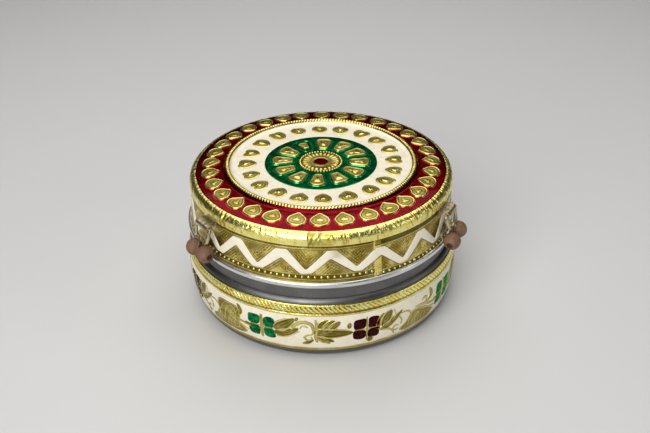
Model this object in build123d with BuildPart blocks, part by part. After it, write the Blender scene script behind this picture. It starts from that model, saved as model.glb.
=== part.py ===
"""Round slip-lid dry fruit box: steel bowl and cap, embossed gilt foil, enamel fills, beaded ties.

Millimetres. The origin is the centre of the flat foot, +Z is up, and the front is at -Y.
"""
from build123d import *
from math import acos, asin, atan2, cos, degrees, hypot, pi, radians, sin, sqrt
import os

os.makedirs("parts", exist_ok=True)

# Overall sizes
belly_radius = 75.4         # bowl's steel where it is widest
rim_height = 70.2           # bowl's rim over the foot

# Sheet and layers
steel = 0.7                 # wall of both shells
foil = 0.35                 # embossed gilt foil
enamel = 0.3                # enamel fill on the foil
cutter_reach = 2.0          # how far a cut starts and ends clear of what it cuts

# Bowl
corner = 5.0                # rounding of the bottom edge
low_inset = 1.9             # belly in to the foil strip's lower edge
shoulder_inset = 1.1        # belly in to the foil strip's upper edge
neck_inset = 3.4            # belly in to the foot of the neck
neck_taper = 3.1            # neck's foot in to the rim
belly_height = 22.0
band_above_corner = 0.4     # steel shown straight over the rounded edge
band_high = 34.9            # upper edge of the foil strip
shoulder_rise = 2.7         # foil strip's upper edge to the foot of the neck

# Rope border, enamel field and flowers on the bowl's strip
rope_depth = 5.3
rope_rise = 0.5
edge_depth = 3.2            # plain foil under the enamel field
flower_pitch = 41.7         # degrees from flower to flower
flower_phase = 245.4        # azimuth of the first green flower
flowers_each_way = 4        # flowers on each side of the first one
petal_width = 5.9
petal_height = 5.3
petal_round = 1.7
petal_gap_across = 1.7
petal_gap_up = 1.5

# Cap
rest_gap = 0.3              # start of the cap's shoulder over the bowl's rim
skirt_depth = 24.2          # shoulder to the centre of the rolled bead
bead_radius = 1.2           # rounding of the rolled bead
bead_flat = 0.9             # upright part of the bead between its roundings
mouth_gap = 1.05            # steel to neck at the mouth
rim_gap = 0.4               # steel to neck at the rim
shoulder_width = 1.9        # top's edge to the side, seen from above
shoulder_height = 3.3       # top's edge to the side, seen from the side
crown_drop = 1.5            # fall of the outer ring from the flat middle
side_foil_tuck = 2.9        # shoulder down to the side strip's upper edge
edge_foil_reach = 4.3       # shoulder down to the crinkled strip's lower edge
edge_foil_bulge = 1.45      # how far the crinkled strip stands out

# Ornament on the cap's top
dot_radius = 3.9
rosette_radius = 11.2
green_radius = 30.7
rope_inner = 49.6
rope_outer = 52.3
boss_rise = 1.15
rope_ring_rise = 2.3
teardrop_count = 32
teardrop_phase = 89.6
teardrop_tip = 5.2          # centre to the inner point
teardrop_half = 4.4         # half the greatest width
teardrop_widest = 1.0       # greatest width outwards of the centre
teardrop_waist = 1.6        # waist inwards of the centre
teardrop_waist_half = 3.5
oval_count = 20
oval_phase = 91.95
oval_across = 7.8
oval_along = 5.8
wedge_count = 12
wedge_phase = 85.7
wedge_length = 10.4
wedge_outer = 8.4           # width where the outer end starts to round
wedge_inner = 4.6
wedge_round = 2.9           # length of the rounded outer end

# Zigzag on the cap's side
zigzag_count = 18
zigzag_phase = 275.0
zigzag_above_bead = 4.75    # lower edge at the valleys, over the side strip's lower edge
zigzag_under_edge = 0.8     # upper edge at the peaks, under the crinkled strip
zigzag_flat = 3.2           # half of the flat at each outer corner
peak_thick = 4.7            # height of the enamel over the sharp inner corner of a peak
valley_thick = 2.5          # height of the enamel under the sharp inner corner of a valley

# Ties
tie_azimuths = {"left": 217.0, "right": 332.5, "rear": 94.5}
extra_leans = {"left": 0.4, "right": 2.4, "rear": 0.4}      # degrees out from where the beads rest
pin_tilts = {"left": -3.5, "right": -7.0, "rear": 0.0}
near_ways = {"left": 1, "right": -1, "rear": 1}     # which end of the pin is the nearer one
lug_side_gap = 0.65         # lug's end to the leg of the ring
lug_sheet = 0.5
lug_drop = 0.3              # lug's upper face under the crinkled strip
lug_fold = 0.3              # step out from the tucked strap to the flange
eye_reach = 4.0             # eye's axis out from the foil on the cap's side
eye_under_edge = 2.0        # eye's axis under the crinkled strip
eye_wall = 0.8
wire_radius = 0.8
shaft_play = 0.08           # radial play of wire in eye and of pin in bead
ring_top_half = 6.85
ring_low_half = 5.2
ring_drop = 8.0
ring_bend = 1.0
link_wall = 0.7
link_play = 0.07            # link to ring and link to pin
link_width = 0.9
pin_head_radius = 1.35
pin_head_length = 0.5
wood_radius = 4.6
wood_gap = 0.2              # bead to link, and bead to pin head
wood_under_bar = 0.8        # bead to the ring's lower bar
hang_gap = 0.3              # bead to the cap where the ring hangs at rest
recess_radius = 1.7
recess_depth = 1.0

# Worked-out radii of the bowl and heights of the whole box
low_radius = belly_radius - low_inset
shoulder_radius = belly_radius - shoulder_inset
neck_low_radius = belly_radius - neck_inset
neck_top_radius = neck_low_radius - neck_taper
band_low = corner + band_above_corner
neck_foot = band_high + shoulder_rise
rope_low = band_high - rope_depth
field_low = band_low + edge_depth
flower_height = (field_low + rope_low) / 2
skirt_top = rim_height + rest_gap
mouth_height = skirt_top - skirt_depth
cap_top = skirt_top + shoulder_height + crown_drop
bead_upper = mouth_height + bead_flat / 2
side_foil_low = bead_upper + bead_radius
side_foil_top = skirt_top - side_foil_tuck
edge_foil_low = skirt_top - edge_foil_reach
zigzag_low = side_foil_low + zigzag_above_bead
zigzag_high = edge_foil_low - zigzag_under_edge
eye_height = edge_foil_low - eye_under_edge


def bowl_wall(height):
    """Radius of the bowl's steel on the one arc through its low, belly and shoulder points."""
    (r1, z1), (r2, z2), (r3, z3) = (
        (low_radius, band_low), (belly_radius, belly_height), (shoulder_radius, band_high))
    a, b, c = r2 - r1, z2 - z1, ((r2**2 - r1**2) + (z2**2 - z1**2)) / 2
    d, e, f = r3 - r2, z3 - z2, ((r3**2 - r2**2) + (z3**2 - z2**2)) / 2
    centre_r = (c * e - b * f) / (a * e - b * d)
    centre_z = (a * f - c * d) / (a * e - b * d)
    arc = hypot(r1 - centre_r, z1 - centre_z)
    return centre_r + arc * cos(asin((height - centre_z) / arc))


def neck_wall(height):
    """Radius of the neck's outside, which narrows towards the rim."""
    return neck_low_radius - neck_taper * (height - neck_foot) / (rim_height - neck_foot)


skirt_top_radius = neck_top_radius + rim_gap + steel
skirt_low_radius = neck_wall(mouth_height) + mouth_gap + steel
crown_edge = skirt_top_radius - shoulder_width
roll_radius = skirt_low_radius + bead_radius - steel


def cap_wall(height):
    """Radius of the cap's steel side, a cone that opens towards the mouth."""
    return skirt_top_radius + (skirt_low_radius - skirt_top_radius) * (skirt_top - height) / skirt_depth


def crown(radius):
    """Height of the steel top: flat inside the rope ring, sloping outside it."""
    return cap_top - crown_drop * max(0.0, radius - rope_outer) / (crown_edge - rope_outer)


def on_bowl(low, high, inside, outside):
    """Outline of a layer that follows the bowl's wall, in the XZ plane."""
    heights = (low, (low + high) / 2, high)
    inner = ThreePointArc(*[(bowl_wall(z) + inside, z) for z in heights])
    outer = ThreePointArc(*[(bowl_wall(z) + outside, z) for z in reversed(heights)])
    Line(inner @ 1, outer @ 0)
    Line(outer @ 1, inner @ 0)


def on_cap(low, high, inside, outside):
    """Corners of a layer that follows the cap's side."""
    return [(cap_wall(low) + inside, low), (cap_wall(high) + inside, high),
            (cap_wall(high) + outside, high), (cap_wall(low) + outside, low)]


def on_crown(inner, outer, below, above):
    """Corners of a layer that follows the cap's top, with a corner where the slope starts."""
    radii = [inner] + ([rope_outer] if inner < rope_outer < outer else []) + [outer]
    lower = [(r, crown(r) + below) for r in radii]
    upper = [(r, crown(r) + above) for r in reversed(radii)]
    return lower + upper


def cap_shoulder():
    """Arc of the cap's steel from its side, where it starts upright, to the top's edge."""
    return TangentArc((skirt_top_radius, skirt_top), (crown_edge, crown(crown_edge)), tangent=(0, 1))


def away(azimuth):
    """Level direction out from the box's axis."""
    return Vector(cos(radians(azimuth)), sin(radians(azimuth)), 0)


def round_box(azimuth):
    """Level direction round the box, anticlockwise from above."""
    return Vector(-sin(radians(azimuth)), cos(radians(azimuth)), 0)


def facing_out(azimuth, distance, height=0.0):
    """A plane at this azimuth that faces outwards: x runs round the box and y runs up."""
    origin = away(azimuth) * distance + Vector(0, 0, height)
    return Plane(origin=origin, x_dir=round_box(azimuth), z_dir=away(azimuth))


def upright(azimuth):
    """A plane through the box's axis at this azimuth: x is the radius and y is the height."""
    return Plane(origin=(0, 0, 0), x_dir=away(azimuth), z_dir=round_box(azimuth) * -1)


# Bowl
with BuildPart() as base_shell:
    with BuildSketch(Plane.XZ):
        with BuildLine():
            foot = Line((0, 0), (low_radius - corner, 0))
            edge = JernArc(foot @ 1, (1, 0), corner, 90)
            start = Line(edge @ 1, (low_radius, band_low))
            belly = ThreePointArc(
                start @ 1, (belly_radius, belly_height), (shoulder_radius, band_high))
            shoulder = TangentArc(belly @ 1, (neck_low_radius, neck_foot), tangent=belly % 1)
            neck = Line(shoulder @ 1, (neck_top_radius, rim_height))
            rim = Line(neck @ 1, (neck_top_radius - steel, rim_height))
            neck_in = Line(rim @ 1, (neck_low_radius - steel, neck_foot))
            shoulder_in = Line(neck_in @ 1, (shoulder_radius - steel, band_high - steel))
            belly_in = ThreePointArc(
                shoulder_in @ 1, (belly_radius - steel, belly_height), (low_radius - steel, band_low))
            start_in = Line(belly_in @ 1, (low_radius - steel, corner))
            edge_in = JernArc(start_in @ 1, (0, -1), corner - steel, -90)
            floor = Line(edge_in @ 1, (0, steel))
            Line(floor @ 1, (0, 0))
        make_face()
    revolve(axis=Axis.Z)
base_shell.part.label = "base_shell"
export_step(base_shell.part, "parts/base_shell.step")

# Foil strip round the bowl, with its rope border
with BuildPart() as base_foil:
    with BuildSketch(Plane.XZ):
        with BuildLine():
            on_bowl(band_low, band_high, 0, foil)
        make_face()
    revolve(axis=Axis.Z)
    with BuildSketch(Plane.XZ):
        with BuildLine():
            on_bowl(rope_low, band_high, foil / 2, foil + rope_rise)
        make_face()
    revolve(axis=Axis.Z)
base_foil.part.label = "base_foil"
export_step(base_foil.part, "parts/base_foil.step")

# Flowers: four petals each, green and maroon by turns
green_azimuths = []
maroon_azimuths = []
for step in range(-flowers_each_way, flowers_each_way + 1):
    azimuth = flower_phase + flower_pitch * step
    (maroon_azimuths if step % 2 else green_azimuths).append(azimuth)

petal_depth = low_inset + foil + enamel + 2 * cutter_reach

with BuildSketch() as flower:
    with GridLocations(petal_width + petal_gap_across, petal_height + petal_gap_up, 2, 2):
        RectangleRounded(petal_width, petal_height, petal_round)


def flower_planes(azimuths):
    """Planes inside the bowl's wall, one behind each flower."""
    return [facing_out(azimuth, low_radius - cutter_reach, flower_height) for azimuth in azimuths]


with BuildPart() as green_petals:
    with BuildSketch(*flower_planes(green_azimuths)):
        add(flower.sketch)
    extrude(amount=petal_depth)
    with BuildSketch(Plane.XZ):
        with BuildLine():
            on_bowl(field_low, rope_low, foil, foil + enamel)
        make_face()
    revolve(axis=Axis.Z, mode=Mode.INTERSECT)
green_petals.part.label = "green_petals"
export_step(green_petals.part, "parts/green_petals.step")

with BuildPart() as maroon_petals:
    with BuildSketch(*flower_planes(maroon_azimuths)):
        add(flower.sketch)
    extrude(amount=petal_depth)
    with BuildSketch(Plane.XZ):
        with BuildLine():
            on_bowl(field_low, rope_low, foil, foil + enamel)
        make_face()
    revolve(axis=Axis.Z, mode=Mode.INTERSECT)
maroon_petals.part.label = "maroon_petals"
export_step(maroon_petals.part, "parts/maroon_petals.step")

# White enamel field, open at every petal
with BuildPart() as base_white_enamel:
    with BuildSketch(Plane.XZ):
        with BuildLine():
            on_bowl(field_low, rope_low, foil, foil + enamel)
        make_face()
    revolve(axis=Axis.Z)
    with BuildSketch(*flower_planes(green_azimuths + maroon_azimuths)):
        add(flower.sketch)
    extrude(amount=petal_depth, mode=Mode.SUBTRACT)
base_white_enamel.part.label = "base_white_enamel"
export_step(base_white_enamel.part, "parts/base_white_enamel.step")

# Cap with its rolled bead
with BuildPart() as lid_shell:
    with BuildSketch(Plane.XZ):
        with BuildLine():
            outer_shoulder = cap_shoulder()
            Polyline(outer_shoulder @ 1, (rope_outer, cap_top), (0, cap_top), (0, cap_top - steel))
            under_top = Polyline(
                (0, cap_top - steel), (rope_outer, cap_top - steel),
                (crown_edge - steel, crown(crown_edge) - steel))
            inner_shoulder = TangentArc(
                (skirt_top_radius - steel, skirt_top), under_top @ 1, tangent=(0, 1))
            Polyline(
                inner_shoulder @ 0, (skirt_low_radius - steel, mouth_height),
                (skirt_low_radius, mouth_height), outer_shoulder @ 0)
        make_face()
    revolve(axis=Axis.Z)
    with BuildSketch(Plane.XZ):
        with Locations((roll_radius, mouth_height)):
            SlotCenterToCenter(bead_flat, 2 * bead_radius, rotation=90)
    revolve(axis=Axis.Z)
lid_shell.part.label = "lid_shell"
export_step(lid_shell.part, "parts/lid_shell.step")

# Foil strip round the cap's side, resting on the bead
with BuildPart() as lid_side_foil:
    with BuildSketch(Plane.XZ):
        Polygon(*on_cap(side_foil_low, side_foil_top, 0, foil), align=None)
    revolve(axis=Axis.Z)
lid_side_foil.part.label = "lid_side_foil"
export_step(lid_side_foil.part, "parts/lid_side_foil.step")

# Outline of the lugs, which the zigzag leaves room for
lug_half_width = ring_top_half - wire_radius - lug_side_gap
eye_radius = cap_wall(eye_height) + foil + eye_reach
eye_outer = wire_radius + shaft_play + eye_wall
tuck_radius = cap_wall(edge_foil_low) + foil + lug_sheet
flange_low = eye_height - lug_sheet


def lug_outline():
    """Strap and eye in an upright plane, reaching into the cap, which is trimmed off later."""
    Polygon(
        (skirt_top_radius - steel, side_foil_top), (tuck_radius, side_foil_top),
        (tuck_radius, edge_foil_low - lug_drop), (eye_radius, eye_height + eye_outer),
        (eye_radius, eye_height + eye_outer - lug_sheet),
        (tuck_radius + lug_fold, edge_foil_low - lug_drop - lug_sheet),
        (tuck_radius + lug_fold, flange_low), (skirt_top_radius - steel, flange_low), align=None)
    with Locations((eye_radius, eye_height)):
        Circle(eye_outer)


# White zigzag, one period at a time, with the periods lapped a little
half_period = cap_wall(zigzag_low) * sin(pi / zigzag_count) + enamel
with BuildSketch() as zigzag_period:
    Polygon(
        (-half_period, zigzag_low + valley_thick), (-half_period, zigzag_low),
        (-half_period + zigzag_flat, zigzag_low), (0, zigzag_high - peak_thick),
        (half_period - zigzag_flat, zigzag_low), (half_period, zigzag_low),
        (half_period, zigzag_low + valley_thick), (zigzag_flat, zigzag_high),
        (-zigzag_flat, zigzag_high), align=None)

zigzag_start = skirt_top_radius - cutter_reach
zigzag_step = 360 / zigzag_count
zigzag_planes = [facing_out(zigzag_phase + k * zigzag_step, zigzag_start) for k in range(zigzag_count)]
with BuildPart() as zigzag_enamel:
    with BuildSketch(*zigzag_planes):
        add(zigzag_period.sketch)
    extrude(amount=skirt_low_radius + cutter_reach - zigzag_start)
    with BuildSketch(Plane.XZ):
        Polygon(*on_cap(side_foil_low, side_foil_top, foil, foil + enamel), align=None)
    revolve(axis=Axis.Z, mode=Mode.INTERSECT)
    for azimuth in tie_azimuths.values():
        with BuildSketch(upright(azimuth)):
            lug_outline()
        extrude(amount=lug_half_width, both=True, mode=Mode.SUBTRACT)
zigzag_enamel.part.label = "zigzag_enamel"
export_step(zigzag_enamel.part, "parts/zigzag_enamel.step")

# Lugs: a strap tucked under the crinkled strip, bent out to a rolled eye
trim_low = flange_low - lug_sheet
for side, azimuth in tie_azimuths.items():
    with BuildPart() as tie_lug:
        with BuildSketch(upright(azimuth)):
            lug_outline()
            with Locations((eye_radius, eye_height)):
                Circle(wire_radius + shaft_play, mode=Mode.SUBTRACT)
        extrude(amount=lug_half_width, both=True)
        with BuildSketch(Plane.XZ):
            Polygon(
                (0, trim_low), (cap_wall(trim_low) + foil, trim_low),
                (cap_wall(side_foil_top) + foil, side_foil_top), (0, side_foil_top), align=None)
            Polygon(
                (tuck_radius, edge_foil_low), (eye_radius, edge_foil_low),
                (eye_radius, side_foil_top), (tuck_radius, side_foil_top), align=None)
        revolve(axis=Axis.Z, mode=Mode.SUBTRACT)
    tie_lug.part.label = f"tie_lug_{side}"
    export_step(tie_lug.part, f"parts/tie_lug_{side}.step")

# Outlines of the bosses
with BuildSketch() as teardrop:
    with BuildLine():
        side_in = ThreePointArc(
            (-teardrop_tip, 0), (-teardrop_waist, teardrop_waist_half), (teardrop_widest, teardrop_half))
        round_end = ThreePointArc(side_in @ 1, (teardrop_tip, 0), (teardrop_widest, -teardrop_half))
        ThreePointArc(round_end @ 1, (-teardrop_waist, -teardrop_waist_half), side_in @ 0)
    make_face()

with BuildSketch() as oval:
    Ellipse(oval_along / 2, oval_across / 2)

with BuildSketch() as wedge:
    with BuildLine():
        flank = Polyline(
            (wedge_length / 2 - wedge_round, -wedge_outer / 2), (-wedge_length / 2, -wedge_inner / 2),
            (-wedge_length / 2, wedge_inner / 2), (wedge_length / 2 - wedge_round, wedge_outer / 2))
        ThreePointArc(flank @ 1, (wedge_length / 2, 0), flank @ 0)
    make_face()

teardrop_radius = (rope_outer + crown_edge) / 2
oval_radius = (green_radius + rope_inner) / 2
wedge_radius = (rosette_radius + green_radius) / 2
slope_cut = crown_drop + foil + 2 * boss_rise

# Top foil: disc with teardrops, rope ring, ovals, wedges and rosette pressed up in one sheet
with BuildPart() as lid_top_foil:
    with BuildSketch(Plane.XY.offset(crown(crown_edge))):
        with PolarLocations(teardrop_radius, teardrop_count, start_angle=teardrop_phase):
            add(teardrop.sketch)
    extrude(amount=slope_cut)
    with BuildSketch(Plane.XZ):
        Polygon(*on_crown(rope_inner, crown_edge, foil / 2, foil + boss_rise), align=None)
    revolve(axis=Axis.Z, mode=Mode.INTERSECT)
    with BuildSketch(Plane.XZ):
        Polygon(*on_crown(0, crown_edge, 0, foil), align=None)
    revolve(axis=Axis.Z)
    with BuildSketch(Plane.XY.offset(cap_top + foil / 2)):
        with PolarLocations(oval_radius, oval_count, start_angle=oval_phase):
            add(oval.sketch)
        with PolarLocations(wedge_radius, wedge_count, start_angle=wedge_phase):
            add(wedge.sketch)
        Circle(rosette_radius)
        Circle(dot_radius, mode=Mode.SUBTRACT)
    extrude(amount=foil / 2 + boss_rise)
    with BuildSketch(Plane.XY.offset(cap_top + foil / 2)):
        Circle(rope_outer)
        Circle(rope_inner, mode=Mode.SUBTRACT)
    extrude(amount=foil / 2 + rope_ring_rise)
lid_top_foil.part.label = "lid_top_foil"
export_step(lid_top_foil.part, "parts/lid_top_foil.step")

# Enamel rings, open at every boss
with BuildPart() as maroon_enamel:
    with BuildSketch(Plane.XZ):
        Polygon(*on_crown(rope_outer, crown_edge, foil, foil + enamel), align=None)
    revolve(axis=Axis.Z)
    with BuildSketch(Plane.XY.offset(crown(crown_edge))):
        with PolarLocations(teardrop_radius, teardrop_count, start_angle=teardrop_phase):
            add(teardrop.sketch)
    extrude(amount=slope_cut, mode=Mode.SUBTRACT)
maroon_enamel.part.label = "maroon_enamel"
export_step(maroon_enamel.part, "parts/maroon_enamel.step")

with BuildPart() as cream_enamel:
    with BuildSketch(Plane.XY.offset(cap_top + foil)):
        Circle(rope_inner)
        Circle(green_radius, mode=Mode.SUBTRACT)
        with PolarLocations(oval_radius, oval_count, start_angle=oval_phase):
            add(oval.sketch, mode=Mode.SUBTRACT)
    extrude(amount=enamel)
cream_enamel.part.label = "cream_enamel"
export_step(cream_enamel.part, "parts/cream_enamel.step")

with BuildPart() as green_enamel:
    with BuildSketch(Plane.XY.offset(cap_top + foil)):
        Circle(green_radius)
        Circle(rosette_radius, mode=Mode.SUBTRACT)
        with PolarLocations(wedge_radius, wedge_count, start_angle=wedge_phase):
            add(wedge.sketch, mode=Mode.SUBTRACT)
    extrude(amount=enamel)
green_enamel.part.label = "green_enamel"
export_step(green_enamel.part, "parts/green_enamel.step")

with BuildPart() as centre_enamel:
    with BuildSketch(Plane.XY.offset(cap_top + foil)):
        Circle(dot_radius)
    extrude(amount=enamel)
centre_enamel.part.label = "centre_enamel"
export_step(centre_enamel.part, "parts/centre_enamel.step")

# Crinkled strip round the shoulder, standing off the side so that the lugs tuck under it
bulge_height = (crown(crown_edge) + edge_foil_low) / 2
with BuildPart() as lid_edge_foil:
    with BuildSketch(Plane.XZ):
        with BuildLine():
            on_steel = cap_shoulder()
            upper_edge = Line(on_steel @ 1, (crown_edge, crown(crown_edge) + foil + enamel))
            upper_bulge = TangentArc(
                (skirt_top_radius + foil + edge_foil_bulge, bulge_height), upper_edge @ 1, tangent=(0, 1))
            Polyline(
                upper_bulge @ 0, (tuck_radius + foil, edge_foil_low), (tuck_radius, edge_foil_low),
                (tuck_radius, side_foil_top), (cap_wall(side_foil_top), side_foil_top), on_steel @ 0)
        make_face()
    revolve(axis=Axis.Z)
lid_edge_foil.part.label = "lid_edge_foil"
export_step(lid_edge_foil.part, "parts/lid_edge_foil.step")

# Ties: ring in the eye, tight link, headed pin and two beads
link_span = wire_radius + wood_under_bar + wood_radius
pin_drop = ring_drop + link_span
bead_centre = link_width / 2 + wood_gap + wood_radius
recess_floor = bead_centre + sqrt(wood_radius**2 - recess_radius**2) - recess_depth
head_start = recess_floor + wood_gap


def resting_lean():
    """Degrees a ring leans out where its beads rest on the rolled bead, or else on the cap's side."""
    eye_to_roll = hypot(eye_radius - roll_radius, eye_height - bead_upper)
    roll_to_wood = bead_radius + hang_gap + wood_radius
    closed = (eye_to_roll**2 + pin_drop**2 - roll_to_wood**2) / (2 * eye_to_roll * pin_drop)
    on_roll = acos(min(1.0, closed)) - atan2(eye_radius - roll_radius, eye_height - bead_upper)
    side = cap_wall(eye_height - pin_drop) + foil + enamel
    on_side = asin((side + hang_gap + wood_radius - eye_radius) / pin_drop)
    return degrees(max(on_roll, on_side))


for side, azimuth in tie_azimuths.items():
    lean = radians(resting_lean() + extra_leans[side])
    tilt = radians(pin_tilts[side])
    outwards = away(azimuth) * cos(lean) + Vector(0, 0, sin(lean))
    down = away(azimuth) * sin(lean) - Vector(0, 0, cos(lean))
    pin_way = round_box(azimuth) * cos(tilt) + down * sin(tilt)
    eye = away(azimuth) * eye_radius + Vector(0, 0, eye_height)
    ring_plane = Plane(origin=eye, x_dir=round_box(azimuth), z_dir=outwards)
    bar_plane = Plane(origin=eye + down * ring_drop, x_dir=down, z_dir=round_box(azimuth))
    pin_plane = Plane(origin=eye + down * pin_drop, x_dir=outwards, z_dir=pin_way)

    with BuildPart() as tie_ring:
        with BuildLine(ring_plane) as ring_path:
            FilletPolyline(
                (ring_top_half, 0), (ring_low_half, -ring_drop), (-ring_low_half, -ring_drop),
                (-ring_top_half, 0), radius=ring_bend, close=True)
        with BuildSketch(Plane(origin=ring_path.line @ 0, z_dir=ring_path.line % 0)):
            Circle(wire_radius)
        sweep()
    tie_ring.part.label = f"tie_ring_{side}"
    export_step(tie_ring.part, f"parts/tie_ring_{side}.step")

    with BuildPart() as tie_link:
        with BuildSketch(bar_plane):
            with Locations((link_span / 2, 0)):
                SlotCenterToCenter(link_span, 2 * (wire_radius + link_play + link_wall))
                SlotCenterToCenter(link_span, 2 * (wire_radius + link_play), mode=Mode.SUBTRACT)
        extrude(amount=link_width / 2, both=True)
    tie_link.part.label = f"tie_link_{side}"
    export_step(tie_link.part, f"parts/tie_link_{side}.step")

    with BuildPart(pin_plane) as bead_pin:
        Cylinder(wire_radius, 2 * head_start)
        with Locations((0, 0, head_start + pin_head_length / 2), (0, 0, -head_start - pin_head_length / 2)):
            Cylinder(pin_head_radius, pin_head_length)
    bead_pin.part.label = f"bead_pin_{side}"
    export_step(bead_pin.part, f"parts/bead_pin_{side}.step")

    for place, way in (("near", near_ways[side]), ("far", -near_ways[side])):
        with BuildPart(pin_plane) as wood_bead:
            with Locations((0, 0, way * bead_centre)):
                Sphere(wood_radius)
                Cylinder(wire_radius + shaft_play, 2 * wood_radius, mode=Mode.SUBTRACT)
            with Locations((0, 0, way * (recess_floor + wood_radius / 2))):
                Cylinder(recess_radius, wood_radius, mode=Mode.SUBTRACT)
        wood_bead.part.label = f"{place}_bead_{side}"
        export_step(wood_bead.part, f"parts/{place}_bead_{side}.step")

print("eye radius", eye_radius, "eye height", eye_height)
print("pin drop", pin_drop, "resting lean", resting_lean())
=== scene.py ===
"""Looks of a round slip-lid dry fruit box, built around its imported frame.

Lengths are millimetres until a mesh is made. Drawings are laid on three surfaces that are read
from the frame: the cap's top, the cap's side and the bowl's side.
"""
from math import cos, hypot, pi, radians, sin
from random import Random

import bmesh
import bpy
import numpy as np
from bpy.props import FloatProperty, FloatVectorProperty, IntProperty, PointerProperty
from bpy.types import Operator, Panel, PropertyGroup
from mathutils import Matrix, Vector


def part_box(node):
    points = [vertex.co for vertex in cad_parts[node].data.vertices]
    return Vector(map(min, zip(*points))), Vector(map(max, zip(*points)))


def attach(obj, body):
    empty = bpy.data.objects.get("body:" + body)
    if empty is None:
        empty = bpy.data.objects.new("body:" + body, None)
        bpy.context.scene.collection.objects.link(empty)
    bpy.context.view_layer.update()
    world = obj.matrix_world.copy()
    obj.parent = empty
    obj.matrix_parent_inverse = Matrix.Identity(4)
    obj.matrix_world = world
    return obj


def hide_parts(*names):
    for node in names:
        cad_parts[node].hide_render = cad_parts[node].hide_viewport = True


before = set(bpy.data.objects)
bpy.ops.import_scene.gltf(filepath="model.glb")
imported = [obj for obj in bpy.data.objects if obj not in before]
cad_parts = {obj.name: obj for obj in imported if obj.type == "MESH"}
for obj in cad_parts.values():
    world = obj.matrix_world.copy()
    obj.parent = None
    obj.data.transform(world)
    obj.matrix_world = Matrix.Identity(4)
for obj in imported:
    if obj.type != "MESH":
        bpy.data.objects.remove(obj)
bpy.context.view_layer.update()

bl_info = {
    "name": "Dry fruit box",
    "version": (1, 0, 0),
    "blender": (4, 5, 0),
    "location": "View3D > Sidebar > Fruit Box",
    "description": "Builds the embossed foil, enamel and beaded ties of a round slip-lid box",
    "category": "Add Mesh",
}

MM = 0.001          # metres in a millimetre
FOIL = 0.35         # thickness of the gilt foil
UNDER = 0.06        # how far one layer reaches into the one below it
CROWN_SWELL = 0.46  # how far the maroon enamel swells above a straight slope
ROPE_WIDTH = 2.7    # of the rope ring between the maroon and the cream


# Sizes read from the frame

def extent(node):
    """Lowest and highest corners of a CAD node, in millimetres."""
    low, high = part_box(node)
    return low / MM, high / MM


def points_of(node):
    """Radius and height of every point of a CAD node, in millimetres."""
    points = np.array([v.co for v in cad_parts[node].data.vertices]) / MM
    return np.hypot(points[:, 0], points[:, 1]), points[:, 2]


def radius_near(node, height, reach=0.05):
    """Greatest radius among a CAD node's points near this height."""
    radii, heights = points_of(node)
    return float(radii[abs(heights - height) < reach].max())


crown_edge = extent("lid_top_foil")[1].x
ridge_top = extent("lid_top_foil")[1].z
dot_radius = extent("centre_enamel")[1].x
green_radius = extent("green_enamel")[1].x
rope_inner = extent("cream_enamel")[1].x
flat_top = extent("cream_enamel")[1].z
enamel = flat_top - extent("cream_enamel")[0].z
slope_end = extent("maroon_enamel")[0].z + enamel
rope_outer = rope_inner + ROPE_WIDTH
rosette_radius = 11.2

side_low = extent("lid_side_foil")[0].z
side_high = extent("lid_side_foil")[1].z
side_low_radius = radius_near("lid_side_foil", side_low)
side_high_radius = radius_near("lid_side_foil", side_high)
edge_low, edge_high = extent("lid_edge_foil")

strip_low = extent("base_foil")[0].z
strip_high = extent("base_foil")[1].z
field_low = extent("base_white_enamel")[0].z
field_high = extent("base_white_enamel")[1].z
bowl_radii, bowl_heights = points_of("base_shell")
belly_radius = float(bowl_radii.max())
belly_height = float(bowl_heights[bowl_radii.argmax()])
mm_per_degree = radians(1) * belly_radius


def arc_through(first, middle, last):
    """Radius as a function of height, on the one arc through three points."""
    (r1, z1), (r2, z2), (r3, z3) = first, middle, last
    a, b, c = r2 - r1, z2 - z1, (r2**2 - r1**2 + z2**2 - z1**2) / 2
    d, e, f = r3 - r2, z3 - z2, (r3**2 - r2**2 + z3**2 - z2**2) / 2
    centre_r = (c * e - b * f) / (a * e - b * d)
    centre_z = (a * f - c * d) / (a * e - b * d)
    reach = hypot(r1 - centre_r, z1 - centre_z)
    return lambda height: centre_r + np.sqrt(reach**2 - (height - centre_z) ** 2)


bowl_steel = arc_through(
    (radius_near("base_shell", strip_low), strip_low), (belly_radius, belly_height),
    (radius_near("base_shell", strip_high), strip_high))


def bowl_wall(height):
    """Radius of the plain foil on the bowl."""
    return bowl_steel(height) + FOIL


def cap_wall(height):
    """Radius of the plain foil on the cap's side."""
    share = (height - side_low) / (side_high - side_low)
    return side_low_radius + share * (side_high_radius - side_low_radius)


def enamel_height(radius):
    """Height of the enamel on the cap's top, which slopes down outside the rope ring."""
    share = np.maximum(0.0, radius - rope_outer) / (crown_edge - rope_outer)
    return flat_top - (flat_top - slope_end) * share + 4 * CROWN_SWELL * share * (1 - share)


# Measures and surfaces to draw on

def around(rows, whole=2 * pi):
    """Angles round the box, one to a row."""
    return np.linspace(0, whole, rows, endpoint=False)[:, None]


def wrapped(azimuth):
    """Degrees as a turn either way from 0."""
    return (azimuth + 180) % 360 - 180


def bell(distance, width):
    """1 at no distance, fading to nothing past this width."""
    return np.exp(-((distance / width) ** 2))


def ridged(relief, heights, ridges):
    """Relief with level ridges added, each a height, a rise and a half width."""
    for level, rise, half in ridges:
        relief = np.maximum(relief, rise * bell(heights - level, half))
    return relief


def on_top(radius, azimuth):
    """A place on the cap's top: u runs outwards, v anticlockwise and h up from the enamel."""
    c, s = cos(radians(azimuth)), sin(radians(azimuth))

    def place(u, v, h):
        x, y = (radius + u) * c - v * s, (radius + u) * s + v * c
        return x, y, float(enamel_height(hypot(x, y))) + h

    return place


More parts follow.
